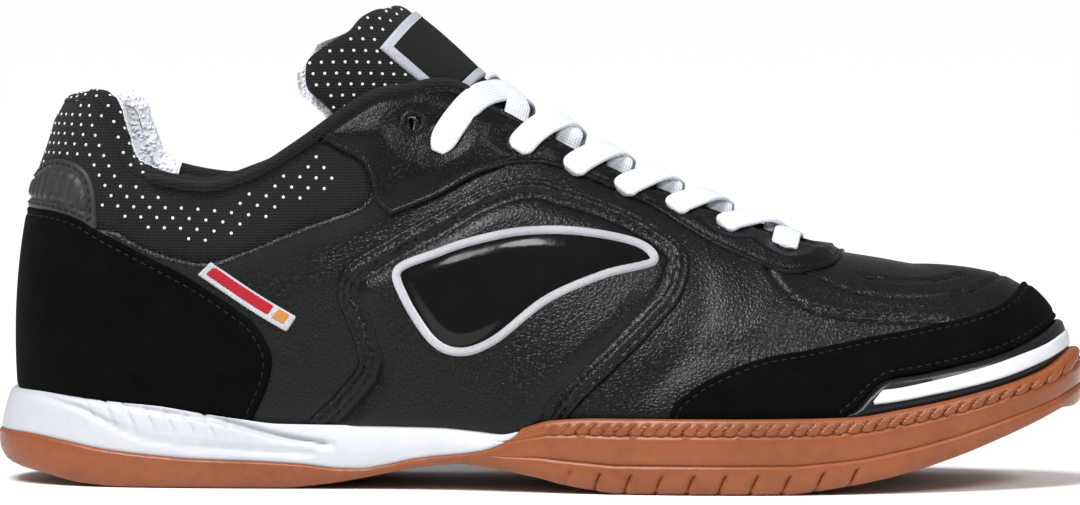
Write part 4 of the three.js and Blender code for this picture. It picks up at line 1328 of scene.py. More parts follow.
@dataclass
class Upper:
    """The leather upper with its knitted, padded collar and terry lining."""

    sheet: FormSheet
    seams: Stitching
    cell: float = 1.25
    dots: list = field(default_factory=list)

    def build(self) -> None:
        """Makes the upper's pieces."""
        whole = FormSheet.grid_in(Region.ROUND, self.cell)
        position, normal = whole.spots()
        whole.marks["open"] = self.sheet.open_mark(position, normal)
        whole.keep("open")
        position, normal = whole.spots()
        whole.marks["knit"] = on_surface(position, normal, side_points(KNIT_OUTLINE))
        self.lining(whole)
        self.edges(whole)
        knit = whole.copy()
        knit.near("knit", 3.0)
        self.dress_knit(knit.cut("knit", 0.0, 0.7, 1.8).keep("knit"))
        self.dress_leather(whole.drop("knit"))

    def dress_knit(self, patch: Patch) -> None:
        """Makes the knitted collar, sunk a little along its seam."""
        height = knit_height(patch.spots()[0], patch.marks["knit"], patch.marks["open"])
        piece = make_panel("collar_knit", patch, height, "textile", KNIT.material())

    def folds(self, position: Array, normal: Array) -> Array:
        """Soft troughs and ridges of worn leather, at listed places."""
        height = np.zeros(len(position))
        for rows, depth, width in (
            (((0.3, 0.62), (0.36, 0.67), (0.42, 0.74), (0.46, 0.8)), 0.8, 3.2),
            (((0.27, 0.52), (0.3, 0.57), (0.33, 0.6)), 0.5, 3.5),
            (((0.285, 0.3), (0.3, 0.4), (0.3, 0.5)), 0.45, 4.0),
            (((0.655, 0.5), (0.66, 0.4), (0.645, 0.3), (0.62, 0.2)), 0.5, 4.0),
            (((0.7, 0.33), (0.72, 0.4), (0.715, 0.5)), -0.4, 4.0),
            (((0.6, 0.16), (0.64, 0.25), (0.69, 0.3), (0.76, 0.33)), 0.35, 4.0),
        ):
            height -= depth * bell(on_surface(position, normal, side_line(rows, 3.0), closed=False), width)
        x, y, z = position.T
        return height + 0.18 * np.sin(x * 0.11 + y * 0.06) * np.cos(z * 0.13 + x * 0.05)

    def dress_leather(self, patch: Patch) -> None:
        """Makes the leather body with its seams and folds."""
        position, normal = patch.spots()
        lines = {"vamp": (VAMP_SEAM, 0.9), "arc": (TOE_ARC, 0.5), "arc_high": (TOE_ARC_HIGH, 0.45)}
        for key, (rows, _) in lines.items():
            patch.marks[key] = np.minimum(on_surface(position, normal, side_line(rows), closed=False), 30)
        for key in lines:
            patch.cut(key, 0.35, 0.9, 1.7)
        patch.cut("knit", -0.8, -2.2)
        position, normal = patch.spots()
        height = self.folds(position, normal)
        inside = -patch.marks["knit"]
        welt = 0.9 * np.sqrt(np.clip(inside / 0.8, 0, 1)) * (1 - smooth(1.2, 3.6, inside))
        height += (welt - 0.1) * (1 - smooth(100, 112, position[:, 0]))
        for key, (_, depth) in lines.items():
            height -= depth * bell(patch.marks[key], 0.75) - 0.35 * depth * bell(patch.marks[key] - 2.0,
                                                                                 1.0)
        for share, up in PINHOLES:
            spot = np.array((share * SIZES.length, float(bed_at(share) + up * local_height(share))))
            height -= 0.5 * bell(np.hypot(position[:, 0] - spot[0], position[:, 2] - spot[1]), 0.7)
        above = over_rim(position)
        make_panel("vamp", patch, height * above - 1.2 * (1 - above), "leather", LEATHER.material(),
                   ["upper"])
        for side in SIDES:
            for rows, lift in ((TOE_ARC, -0.25), (TOE_ARC_HIGH, -0.2)):
                path, up = self.sheet.side_path(rows, side)
                self.seams.add(path + up * lift, up)
            path, up = self.sheet.side_path(VAMP_SEAM, side)
            across = np.cross(unit(np.gradient(path, axis=0)), up)
            for shift in (-1.5, 1.5):
                self.seams.add(path + across * shift + up * 0.25, up)

    def lining(self, patch: Patch) -> None:
        """Makes the terry lining inside the wall."""
        position, normal = patch.spots()
        inner = position - normal * (wall_at(position) + fluff(position))[:, None]
        make_object("lining", inner, patch.faces[:, ::-1], "lining", TERRY.material())

    def edges(self, patch: Patch) -> None:
        """Rolls the collar's rim over its padding, binds it and closes the throat's cut edge."""
        runs = [run for run in patch.chains("open") if len(run) > 90]
        for run, word in zip(runs, SIDES.values()):
            self.rim(patch.coords[run], word)

    def rim(self, coords: Array, word: str) -> None:
        """Rolls one run of the rim.

        Args:
            coords: the run's coordinates on the last.
            word: which side it is, for the pieces' names.
        """
        position, normal = LAST.place(coords[:, 0], coords[:, 1])
        wall = wall_at(position)
        around = np.gradient(position, axis=0)
        for end in (0, -1):
            around[end] = (0, around[end, 1], 0)
        away = unit(np.cross(unit(around), normal))
        probe = self.sheet.open_mark(position + away * 1.5, normal, eyelets=False)
        if np.median(probe) > 0:
            away = -away
        middle = position - normal * wall[:, None] / 2
        count = 13
        angle = np.linspace(0, math.pi, count)
        turned = np.cos(angle)[None, :, None] * normal[:, None] + np.sin(angle)[None, :, None] * away[:,
                                                                                                      None]
        grid = middle[:, None] + (wall / 2)[:, None, None] * turned
        points = grid.reshape(-1, 3)
        throat = np.abs(on_surface(position, normal, self.sheet.throat, view=View.TOP)) < 2.5
        throat &= position[:, 0] > 112
        faces: dict[str, list] = {"knit": [], "terry": [], "leather": []}
        facing = np.einsum("ij,ij->i", np.cross(grid[1:, 3] - grid[:-1, 3], grid[:-1, 4] - grid[:-1, 3]),
                           grid[:-1, 3] - middle[:-1])
        turn = 1 if np.median(facing) > 0 else -1
        for i in range(len(coords) - 1):
            for k in range(count - 1):
                bound = position[i, 0] > 44
                key = "leather" if throat[i] else ("knit" if k < 5 or bound else "terry")
                face = (i * count + k, (i + 1) * count + k, (i + 1) * count + k + 1, i * count + k + 1)
                faces[key].append(face[::turn])
        make_object(f"collar_roll_{word}", points, faces["knit"], "textile", KNIT.material())
        outward = unit((grid - middle[:, None]).reshape(-1, 3))
        rough = points + outward * (0.2 + 1.3 * np.abs(fluff(points)))[:, None]
        make_object(f"lining_roll_{word}", rough, faces["terry"], "lining", TERRY.material())
        make_object(f"throat_edge_{word}", points, faces["leather"], "leather", SMOOTH_LEATHER.material())
        self.bind(position, normal, away, wall, word)
        run = way_along(position)
        dotted = position[:, 0] < 43
        for row, turned in enumerate((0.4, 1.15)):
            first = 2.3 if row == 0 else (0.0 if dotted[0] else 4.6)
            places = np.arange(first, run[dotted].max() if dotted[0] else run[-1] - run[dotted].min(), 4.6)
            if not dotted[0]:
                places = run[-1] - places
            centre = np.stack([np.interp(places, run, middle[:, axis]) for axis in range(3)], 1)
            way = math.cos(turned) * normal + math.sin(turned) * away
            way = unit(np.stack([np.interp(places, run, way[:, axis]) for axis in range(3)], 1))
            size = np.interp(places, run, wall / 2)[:, None]
            self.dots.append((centre + way * (size + 0.06), way))

    def bind(self, position: Array, normal: Array, away: Array, wall: Array, word: str) -> None:
        """Lays the knitted binding along the rim, from the side of the heel to the top of the throat."""
        bound = np.flatnonzero((position[:, 0] > 40) & ((position[:, 0] < 124) | (position[:, 2] > 104)))
        part = slice(bound[0], bound[-1] + 1)
        size = bound[-1] + 1 - bound[0]
        line = position[part] + away[part] * 0.7 - normal[part] * (wall[part, None] * 0.5 - 0.9)
        ease(line, 8)
        grow = np.minimum(np.arange(size), np.arange(size)[::-1])
        taper = np.sqrt(np.clip((grow + 1) / 6, 0, 1))
        scale = np.stack((taper, taper * (wall[part] + 2.4) / 3.4), 1)
        points, faces = sweep(line, normal[part], oval(3.3, 3.4, 14, 1.0), scale)
        make_object(f"collar_binding_{word}", points, faces, "textile", BINDING.material())
        self.seams.add(position[part] - away[part] * 2.2 + normal[part] * 0.15, normal[part])


@dataclass
class Panel:
    """An overlay sewn on the upper within an outline."""

    name: str
    outline: Rows
    region: Region
    edge: Edge
    finish: Finish
    slot: str
    node: str
    base: float = 0.0
    puff: float = 0.0
    rows: tuple[float, ...] = ()
    cell: float = 0.9
    apart: Sequence[tuple[Rows, float]] = ()
    openings: bool = False

    def mark(self, sheet: FormSheet) -> Callable[[Array, Array], Array]:
        """Distance inside the panel on the surface."""
        outline = side_points(self.outline)
        others = [(side_points(rows), gap) for rows, gap in self.apart]

        def inside(position: Array, normal: Array) -> Array:
            """Distance inside the outline and clear of what it meets."""
            found = on_surface(position, normal, outline)
            for other, gap in others:
                found = np.minimum(found, -on_surface(position, normal, other) - gap)
            if self.openings:
                found = np.minimum(found, sheet.open_mark(position, normal))
            return found

        return inside

    def height(self, distance: Array, position: Array) -> Array:
        """Height of the panel above the form."""
        height = self.base + self.edge.height(distance)
        last = max(self.rows, default=0.6)
        height += self.puff * smooth(last, last + 7, distance)
        for row in self.rows:
            height -= 0.5 * bell(distance - row, 0.5)
        if len(self.rows) > 1:
            middle = distance - sum(self.rows) / 2
            pucker = np.sin(position[:, 0] * 2.0) * np.sin(position[:, 2] * 2.0)
            height += 0.6 * bell(middle, 1.1) + 0.3 * pucker * bell(middle, 2.2)
            height -= 0.9 * bell(distance - last - 1.5, 1.0)
        above = over_rim(position)
        return height * above - 1.2 * (1 - above)

    def patch(self, sheet: FormSheet, *levels: float) -> Patch:
        """The panel's patch, cut at its edge's levels and others."""
        found = sheet.over(self.mark(sheet), self.region, self.cell).keep("in")
        return found.cut("in", *sorted({*self.edge.levels(), *levels}))

    def sew(self, patch: Patch, height: Array, row: float, seams: Stitching) -> None:
        """Adds a seam row at a distance inside the outline."""
        position, normal = patch.spots()
        raised = position + normal * (height + 0.08)[:, None]
        for run in patch.chains("in", row):
            if len(run) > 8:
                seams.add(raised[run], normal[run])

    def build(self, sheet: FormSheet, seams: Stitching) -> None:
        """Makes the panel and adds its seam rows."""
        patch = self.patch(sheet, *(row + off for row in self.rows for off in (-0.6, 0, 0.6)))
        height = self.height(patch.marks["in"], patch.spots()[0])
        make_panel(self.name, patch, height, self.slot, self.finish.material(), [self.node])
        for row in self.rows:
            self.sew(patch, height, row, seams)


HEEL_COUNTER: Rows = (
    (-0.03, 0.649, 1), (0.036, 0.653), (0.064, 0.65), (0.087, 0.631), (0.106, 0.598), (0.154, 0.529),
    (0.198, 0.463), (0.235, 0.395), (0.249, 0.36), (0.258, 0.314), (0.264, 0.268), (0.263, 0.203),
    (0.255, 0.12), (0.238, 0, 1), (0.238, -0.15, 1), (-0.03, -0.15, 1),
)
HEEL_PATCH: Rows = (
    (-0.03, 0.6, 1), (-0.03, 0.667, 1), (0.02, 0.69), (0.027, 0.73), (0.035, 0.765), (0.046, 0.796),
    (0.057, 0.814), (0.071, 0.817), (0.084, 0.805), (0.094, 0.777), (0.099, 0.73), (0.101, 0.683),
    (0.102, 0.57, 1),
)
SIDE_PANEL: Rows = (
    (0.297, -0.05, 1), (0.297, 0.053), (0.319, 0.136), (0.341, 0.225), (0.343, 0.272), (0.333, 0.377),
    (0.324, 0.455), (0.327, 0.527), (0.336, 0.566), (0.35, 0.591), (0.382, 0.636), (0.418, 0.675),
    (0.453, 0.721), (0.48, 0.742), (0.507, 0.744), (0.525, 0.728), (0.562, 0.694), (0.598, 0.648),
    (0.631, 0.589), (0.645, 0.53), (0.638, 0.428), (0.612, 0.332), (0.576, 0.218), (0.549, 0.132),
    (0.536, 0.07), (0.534, -0.05, 1),
)
EMBLEM: Rows = (
    (0.378, 0.53), (0.384, 0.43), (0.412, 0.29), (0.44, 0.25), (0.475, 0.29), (0.52, 0.4), (0.57, 0.47),
    (0.615, 0.51), (0.6, 0.57), (0.54, 0.605), (0.48, 0.6), (0.42, 0.565),
)
TAG: Rows = ((0.196, 0.494, 1), (0.208, 0.542, 1), (0.287, 0.393, 1), (0.278, 0.343, 1))
TAG_FIELD: Rows = ((0.2035, 0.499, 1), (0.2115, 0.528, 1), (0.267, 0.4255, 1), (0.2605, 0.394, 1))
TAG_SQUARE: Rows = ((0.264, 0.387, 1), (0.271, 0.418, 1), (0.2815, 0.398, 1), (0.275, 0.366, 1))
TOE_GUARD: Rows = (
    (0.626, -0.1, 1), (0.631, 0.112), (0.647, 0.173), (0.673, 0.221), (0.712, 0.263), (0.752, 0.279),
    (0.782, 0.289), (0.817, 0.294), (0.844, 0.29), (0.868, 0.288), (0.886, 0.282), (0.912, 0.278),
    (0.929, 0.283), (0.94, 0.3), (0.949, 0.336, 1), (1.03, 0.34, 1), (1.03, -0.3, 1),
)
TOE_BUMPER: Rows = (
    (0.787, -0.1, 1), (0.787, 0.074), (0.797, 0.098), (0.806, 0.126), (0.815, 0.149), (0.828, 0.168),
    (0.855, 0.162), (0.882, 0.157), (0.909, 0.149), (0.926, 0.146), (0.944, 0.146), (0.962, 0.153),
    (0.975, 0.17, 1), (1.03, 0.2, 1), (1.03, -0.3, 1),
)
TOE_STRIPE: Rows = (
    (0.82, 0.141, 1), (0.837, 0.137), (0.873, 0.133), (0.909, 0.127), (0.935, 0.123), (0.962, 0.12),
    (0.983, 0.133), (1.03, 0.16, 1), (1.03, 0.1, 1), (0.984, 0.085), (0.962, 0.078), (0.935, 0.079),
    (0.909, 0.085), (0.873, 0.095), (0.837, 0.101), (0.809, 0.106, 1),
)
EYESTAY: Rows = (
    (0.309, 0.961, 1), (0.324, 0.925), (0.344, 0.878), (0.352, 0.821), (0.357, 0.749), (0.372, 0.69, 1),
    (0.418, 0.72), (0.453, 0.765), (0.489, 0.785), (0.525, 0.775), (0.598, 0.69), (0.633, 0.63),
    (0.66, 0.583),
    (0.69, 0.54), (0.73, 0.489), (0.762, 0.495), (0.779, 0.515), (0.786, 0.6, 1), (0.646, 1.1, 1),
    (0.408, 1.4, 1), (0.289, 1.3, 1),
)
TONGUE: Rows = (
    (0.752, 0.66, 1), (0.68, 0.85), (0.578, 1.05), (0.51, 1.2), (0.462, 1.3), (0.42, 1.42), (0.39, 1.5, 1),
    (0.368, 1.36), (0.356, 1.358), (0.344, 1.345), (0.332, 1.303), (0.313, 1.27), (0.296, 1.228),
    (0.291, 1.19),
    (0.293, 1.124), (0.305, 1.09), (0.334, 1.0), (0.408, 0.85), (0.51, 0.759), (0.612, 0.645),
    (0.697, 0.545),
    (0.731, 0.5), (0.752, 0.49, 1),
)
SOLE_SWEEPS = (
    ((4.6, 26.1), (15.5, 23.9), (26.4, 20.9), (34.5, 17.1), (42.7, 13.6), (53.6, 11.4), (72.6, 10.1),
     (89, 9.5)),
    ((10, 26), (31.8, 22.9), (48, 20.2), (64.5, 17.7), (78, 14.2), (92, 12)),
    ((50.9, 22.3), (61.7, 19), (72.6, 16), (83.5, 13.3), (94.4, 11.7)),
)


class SoleSide:
    """Side of the sole, from its lowest edge round the rim to the ledge under the upper."""

    def point(self, s: Array, q: Array) -> Array:
        """Points at heights q, from 0 at the tread to 1 at the rim and 1.2 under the upper."""
        foot, out = LAST.foot(s)
        share = foot[:, 0] / SIZES.length
        low = SIZES.bed * SOLE_BOTTOM(share)
        high = SIZES.bed * SOLE_RIM(share)
        up = np.minimum(q, 1)
        blend = smooth(0.46, 0.52, share)
        reach = SIZES.sole_flare * FLARE(share) * (SOLE_SIDE_HEEL(up) * (1 - blend)
                                                   + SOLE_SIDE_BALL(up) * blend)
        inward = np.clip((q - 1) / 0.2, 0, 1)
        reach = reach * (1 - inward) - 1.5 * inward
        height = low + up * (high - low)
        reach += self.relief(share, up, height, foot[:, 0]) * (1 - inward)
        point = foot + out * reach[:, None]
        point[:, 2] = height - 0.35 * np.sin(inward * math.pi / 2)
        return point

    def relief(self, share: Array, up: Array, height: Array, x: Array) -> Array:
        """Moulded relief: lugs, a toothed band and swept lines."""
        relief = np.zeros(len(x))
        ball = smooth(0.5, 0.56, share)
        phase = (x - height * 0.45 - 0.66 * SIZES.length) / SIZES.tread_pitch
        notch = bell((phase - np.round(phase + 0.5) + 0.5) * SIZES.tread_pitch, 0.85)
        lugs = smooth(0.53, 0.55, share) * (1 - smooth(0.79, 0.82, share)) * (1 - smooth(0.24, 0.33, up))
        relief -= 1.2 * notch * lugs
        band = smooth(0.79, 0.82, up) * (1 - smooth(0.92, 0.95, up)) * ball
        tooth = np.abs(np.mod((x - up * 15) / 3.5, 1.0) * 2 - 1)
        relief += 0.65 * (smooth(0.3, 0.5, tooth) - 0.6) * band
        dash = smooth(0.86, 0.92, np.abs(np.mod(x / 13.6, 1.0) * 2 - 1))
        relief += 0.7 * dash * bell(up - 0.785, 0.025) * ball
        heel = 1 - smooth(0.44, 0.5, share)
        if heel.max() > 0:
            spot = np.stack((x, height), 1)
            sweeps = [flat_distance(spot, np.array(line, float), False)[0] for line in SOLE_SWEEPS]
            for away in sweeps:
                relief -= 0.9 * bell(away, 0.75) * heel
            rib = smooth(0.72, 0.95, np.abs(np.mod((x + height * 0.55) / 5.0, 1.0) * 2 - 1))
            relief -= 0.55 * rib * smooth(24, 32, x) * (1 - smooth(62, 76, x)) * smooth(7, 4,
                                                                                        sweeps[1]) * heel
        return relief

    def place(self, a: Array, b: Array) -> tuple[Array, Array]:
        """Positions and outward normals."""
        return place_by_steps(self.point, a, b, 0.0, 1.2, 0.4, 0.01)


@dataclass
class Sole:
    """White midsole and gum outsole with its tread, and the insole in the shoe."""

    cell: float = 0.62

    def build(self) -> None:
        """Makes the sole's pieces."""
        side = SoleSide()
        a = np.linspace(0, LAST.period, int(LAST.period / self.cell))
        stretches = ((0, 0.1, 5), (0.13, 0.34, 7), (0.36, 0.44, 6), (0.48, 0.74, 6), (0.77, 1, 13),
                     (1.03, 1.2, 5))
        b = np.concatenate([np.linspace(*stretch) for stretch in stretches])
        patch = Patch.grid(side, a, b)
        position, _ = patch.spots()
        patch.marks["gum"] = SIZES.bed * GUM_LINE(position[:, 0] / SIZES.length) - position[:, 2]
        patch.cut("gum", 0.0)
        foam = patch.copy().drop("gum").cut("gum", -0.3, -0.8)
        height = 0.35 * np.sqrt(np.clip(-foam.marks["gum"] / 0.8, 0, 1)) - 0.35
        make_panel("midsole_foam", foam, height, "foam", FOAM.material(), ["midsole"])
        gum = patch.keep("gum").cut("gum", 0.25, 0.8)
        edge = np.sqrt(np.clip(gum.marks["gum"] / 0.8, 0, 1))
        position, normal = gum.spots()
        points = position + normal * (SIZES.gum_step * edge - 0.3 * (1 - edge))[:, None]
        points[:, 2] = np.maximum(points[:, 2], SIZES.bed * SOLE_BOTTOM(points[:, 0] / SIZES.length))
        make_object("outsole_gum", points, gum.faces, "gum", GUM.material(), ["outsole"])
        self.tread(side)
        self.insole()

    @staticmethod
    def across(surface: Surface, height: float, steps: int, count: int, out_by: float) -> tuple[Array,
                                                                                                Array]:
        """Sheet from the outer to the inner edge of a surface at one height.

        Args:
            surface: the form whose two edges are joined.
            height: second coordinate of the edges.
            steps: points along the foot.
            count: points across it.
            out_by: how far the edges are moved outwards.

        Returns:
            Points and faces.
        """
        half = np.linspace(0.01, LAST.period / 2 - 0.01, steps)
        sides = [surface.place(turn * half, np.full(steps, height)) for turn in (1, -1)]
        left, right = (position + normal * out_by for position, normal in sides)
        share = np.linspace(0, 1, count)
        points = left[:, None] * (1 - share)[None, :, None] + right[:, None] * share[None, :, None]
        i, k = np.meshgrid(np.arange(len(left) - 1), np.arange(count - 1), indexing="ij")
        first = (i * count + k).ravel()
        return points.reshape(-1, 3), np.stack((first, first + count, first + count + 1, first + 1), 1)

    def tread(self, side: SoleSide) -> None:
        """Makes the tread underneath, with grooves under the heel and the ball and fine ribs between."""
        steps, count = 620, 60
        points, faces = self.across(side, 0.0, steps, count, SIZES.gum_step)
        x, y = points[:, 0], points[:, 1]
        share = x / SIZES.length
        depth = np.zeros(len(points))
        for middle, pairs in ((0.663, 4), (0.2, 3)):
            phase = (x - middle * SIZES.length) / SIZES.tread_pitch
            groove = bell((phase - np.round(phase + 0.5) + 0.5) * SIZES.tread_pitch, 0.9)
            depth += SIZES.tread_depth * groove * (np.abs(phase) < pairs)
        border = np.minimum(np.arange(count), np.arange(count)[::-1])
        inner = np.tile(smooth(1, 4, border), steps)
        zigzag = np.abs(np.mod((x + 3.2 * np.abs(np.mod(y / 9, 1) * 2 - 1)) / 3.4, 1) * 2 - 1)
        depth += 0.45 * smooth(0.3, 0.7, zigzag) * inner * (depth < 0.2)
        points[:, 2] = SIZES.bed * SOLE_BOTTOM(share) + depth * np.maximum(inner, 0.4)
        make_object("outsole_tread", points, faces[:, ::-1], "gum", GUM.material())

    def insole(self) -> None:
        """Makes the cushioned insole, raised a little at its edge."""
        steps, count = 300, 48
        points, faces = self.across(LAST, 0.05, steps, count, -SIZES.wall - 0.5)
        share = points[:, 0] / SIZES.length
        edge = np.tile(np.abs(np.linspace(-1, 1, count)), steps)
        points[:, 2] = bed_at(share) + SIZES.insole + 1.6 * edge ** 8 + 0.05 * np.sin(points[:, 0] * 0.8)
        piece = make_object("insole_cloth", points, faces, "lining", TERRY.material(), ["insole"])


class TongueForm:
    """Padded tongue's outer face: how far along from its free end, and the angle across its crest."""

    reach = 30.0
    under = 2.9

    def __init__(self, sheet: FormSheet) -> None:
        """Casts the tongue's face against the inside of the upper."""
        x = np.linspace(131, 226, 60)
        crest = np.array([sheet.top(at, float(SIZES.ball_width * CREST(at / SIZES.length)))[0][2]
                          for at in x])
        free = np.array([(100.5, 135.6), (106.5, 131.2), (112.7, 127.1), (118, 122.9), (123.6, 118.4),
                         (130, 113.2)])
        keep = x > 142
        line = np.vstack((free, np.stack((x[keep], crest[keep] - self.under), 1)))
        ease(line, 3)
        run = way_along(line)
        self.length = float(run[-1])
        self.a = np.linspace(0, self.length, 100)
        centre = np.stack([np.interp(self.a, run, line[:, k]) for k in (0, 1)], 1)
        ease(centre, 6)
        way = unit(np.gradient(centre, axis=0))
        stand = np.stack((-way[:, 1], way[:, 0]), 1)
        self.crest = centre
        self.b = np.linspace(-2.2, 2.2, 90)
        self.grid = np.empty((100, 90, 3))
        for i, (spot, up) in enumerate(zip(centre, stand)):
            y = float(SIZES.ball_width * CREST(spot[0] / SIZES.length))
            axis = np.array((spot[0] - up[0] * self.reach, y, spot[1] - up[1] * self.reach))
            free_share = 1 - float(smooth(16, 52, self.a[i]))
            for k, angle in enumerate(self.b):
                way3 = np.array((math.cos(angle) * up[0], math.sin(angle), math.cos(angle) * up[1]))
                hit, _, _, distance = sheet.tree.ray_cast(Vector(axis), Vector(way3))
                wall = (distance - self.under) if hit is not None else 60.0
                bow = 36 + 400 * (1 - free_share)
                c, s2 = math.cos(angle), max(math.sin(angle) ** 2, 1e-6)
                cap = bow / s2 * (math.sqrt(c * c + 2 * self.reach * s2 / bow) - c)
                size = float(soft_least(np.array(wall), np.array(cap), 0.4 + 7.0 * free_share))
                self.grid[i, k] = axis + way3 * size
        for _ in range(10):
            self.grid[1:-1, 1:-1] = (self.grid[1:-1, 1:-1] * 2 + self.grid[2:, 1:-1] + self.grid[:-2, 1:-1]
                                     + self.grid[1:-1, 2:] + self.grid[1:-1, :-2]) / 6

    def point(self, a: Array, b: Array) -> Array:
        """Points on the face."""
        i = np.clip(a / self.length * 99, 0, 98.999)
        k = np.clip((b + 2.2) / 4.4 * 89, 0, 88.999)
        i0, k0 = i.astype(int), k.astype(int)
        u, v = (i - i0)[:, None], (k - k0)[:, None]
        g = self.grid
        return ((g[i0, k0] * (1 - u) + g[i0 + 1, k0] * u) * (1 - v)
                + (g[i0, k0 + 1] * (1 - u) + g[i0 + 1, k0 + 1] * u) * v)

    def place(self, a: Array, b: Array) -> tuple[Array, Array]:
        """Positions and outward normals."""
        return place_by_steps(self.point, a, b, -2.2, 2.2, 1.2, 0.045)


@dataclass
class Tongue:
    """Padded tongue with dotted knit outside, terry inside and a woven label."""

    sheet: FormSheet
    form: TongueForm
    cell: float = 1.3
    label_from: float = 14.5
    label_to: float = 40.5
    label_half: float = 23.5

    @staticmethod
    def face(position: Array, normal: Array, depth: Array, side: int) -> Array:
        """One face of the padding, rounded off at the border.

        Args:
            position: places on the form.
            normal: directions outwards there.
            depth: distance inside the outline.
            side: 1 for the outer face, -1 for the inner one.

        Returns:
            Positions.
        """
        half = SIZES.tongue_pad / 2
        puff = 0.25 * smooth(3, 10, depth) * np.sin(position[:, 0] * 0.28) if side > 0 else 0.0
        return position + normal * (side * half * round_off(depth, 4) - half + puff)[:, None]

    def patch(self, spread: float = 0.0) -> Patch:
        """The tongue's face within its outline, spread a little at the lower back edge."""
        a = np.arange(0, self.form.length, self.cell)
        found = Patch.grid(self.form, a, np.linspace(-2.15, 2.15, int(130 / self.cell)))
        position, normal = found.spots()
        low = smooth(124, 116, position[:, 2]) * smooth(112, 100, position[:, 0])
        found.marks["in"] = on_surface(position, normal, side_points(TONGUE)) + spread * low
        found.near("in", 2.0)
        return found.keep("in").cut("in", 0.2, 0.8, 2.0, 4.0)

    def build(self) -> None:
        """Makes the tongue's pieces."""
        patch = self.patch()
        outer = self.face(*patch.spots(), patch.marks["in"], 1)
        piece = make_object("tongue_knit", outer, patch.faces, "textile", KNIT.material(), ["tongue"])
        patch = self.patch(spread=2.3)
        position, normal = patch.spots()
        inner = self.face(position, normal, patch.marks["in"], -1)
        inner -= normal * (0.3 + fluff(inner))[:, None]
        back = make_object("tongue_lining", inner, patch.faces[:, ::-1], "lining", TERRY.material())
        self.label()
        self.dots()

    def in_label(self, coords: Array) -> Array:
        """Distance inside the label's outline."""
        along, across = coords[:, 0], np.abs(coords[:, 1]) * 29
        return np.minimum.reduce((along - self.label_from, self.label_to - along, self.label_half - across))

    def label(self) -> None:
        """Makes the woven label: a pale frame round a plain dark face."""
        a = np.arange(self.label_from - 1, self.label_to + 1, 0.5)
        patch = Patch.grid(self.form, a, np.linspace(-1.1, 1.1, 130))
        patch.marks["in"] = self.in_label(patch.coords)
        frame_edge, face_edge = Edge(0.9, 0.5), Edge(0.75, 0.3)
        patch.keep("in").cut("in", *frame_edge.levels(), 2.7)
        frame_patch, face_patch = patch.copy().drop("in", 2.7), patch.keep("in", 2.7)
        height = frame_edge.height(frame_patch.marks["in"]) + 0.1
        make_panel("tongue_label_frame", frame_patch, height, "gloss", LABEL_EDGE.material(),
                   ["tongue_label"])
        height = face_edge.height(face_patch.marks["in"] - 2.7) + 0.1
        make_panel("tongue_label_face", face_patch, height, "gloss", LABEL_FACE.material())

    def dots(self) -> None:
        """Makes the dots of the tongue's knit."""
        rows = []
        for i, a in enumerate(np.arange(1.5, 64, 2.6)):
            angle = np.arange(-60, 60, 4.6) + (2.3 if i % 2 else 0)
            rows.append(np.stack((np.full(len(angle), a), angle / 30), 1))
        coords = np.concatenate(rows)
        position, normal = self.form.place(coords[:, 0], coords[:, 1])
        depth = on_surface(position, normal, side_points(TONGUE))
        wanted = (depth > 1.0) & (self.in_label(coords) <= -1)
        position, normal = position[wanted], normal[wanted]
        dot_piece("tongue_dots", self.face(position, normal, depth[wanted], 1) + normal * 0.08, normal)


def collar_dots(sheet: FormSheet, more: Sequence[tuple[Array, Array]]) -> None:
    """Makes the dots of the collar's knit.

    Args:
        sheet: the upper's form.
        more: places and directions of the dots on the rolled rim.
    """
    s = np.arange(-0.32 * LAST.period, 0.32 * LAST.period, 4.6)
    guide = np.linspace(s[0], s[-1], 40)
    lengths = np.array([LAST.rib_length(float(at)) for at in guide])
    rows = []
    for i, v in enumerate(np.arange(30, 130, 2.6)):
        at = s + (2.3 if i % 2 else 0)
        rows.append(np.stack((at, v / np.interp(at, guide, lengths)), 1))
    coords = np.concatenate(rows)
    coords = coords[coords[:, 1] < 1]
    position, normal = LAST.place(coords[:, 0], coords[:, 1])
    away = sheet.open_mark(position, normal, eyelets=False)
    dotted, patch, counter, knit = (on_surface(position, normal, side_points(rows))
                                    for rows in (DOTTED_OUTLINE, HEEL_PATCH, HEEL_COUNTER, KNIT_OUTLINE))
    wanted = (dotted > 0) & (patch < -0.8) & (counter < -0.8)
    wanted &= away > 1.5 + 2.5 * smooth(38, 48, position[:, 0])
    position, normal = position[wanted], normal[wanted]
    lift = knit_height(position, knit[wanted], away[wanted]) + 0.1
    points = np.vstack((position + normal * lift[:, None], *(spots for spots, _ in more)))
    dot_piece("collar_dots", points, np.vstack((normal, *(ways for _, ways in more))))


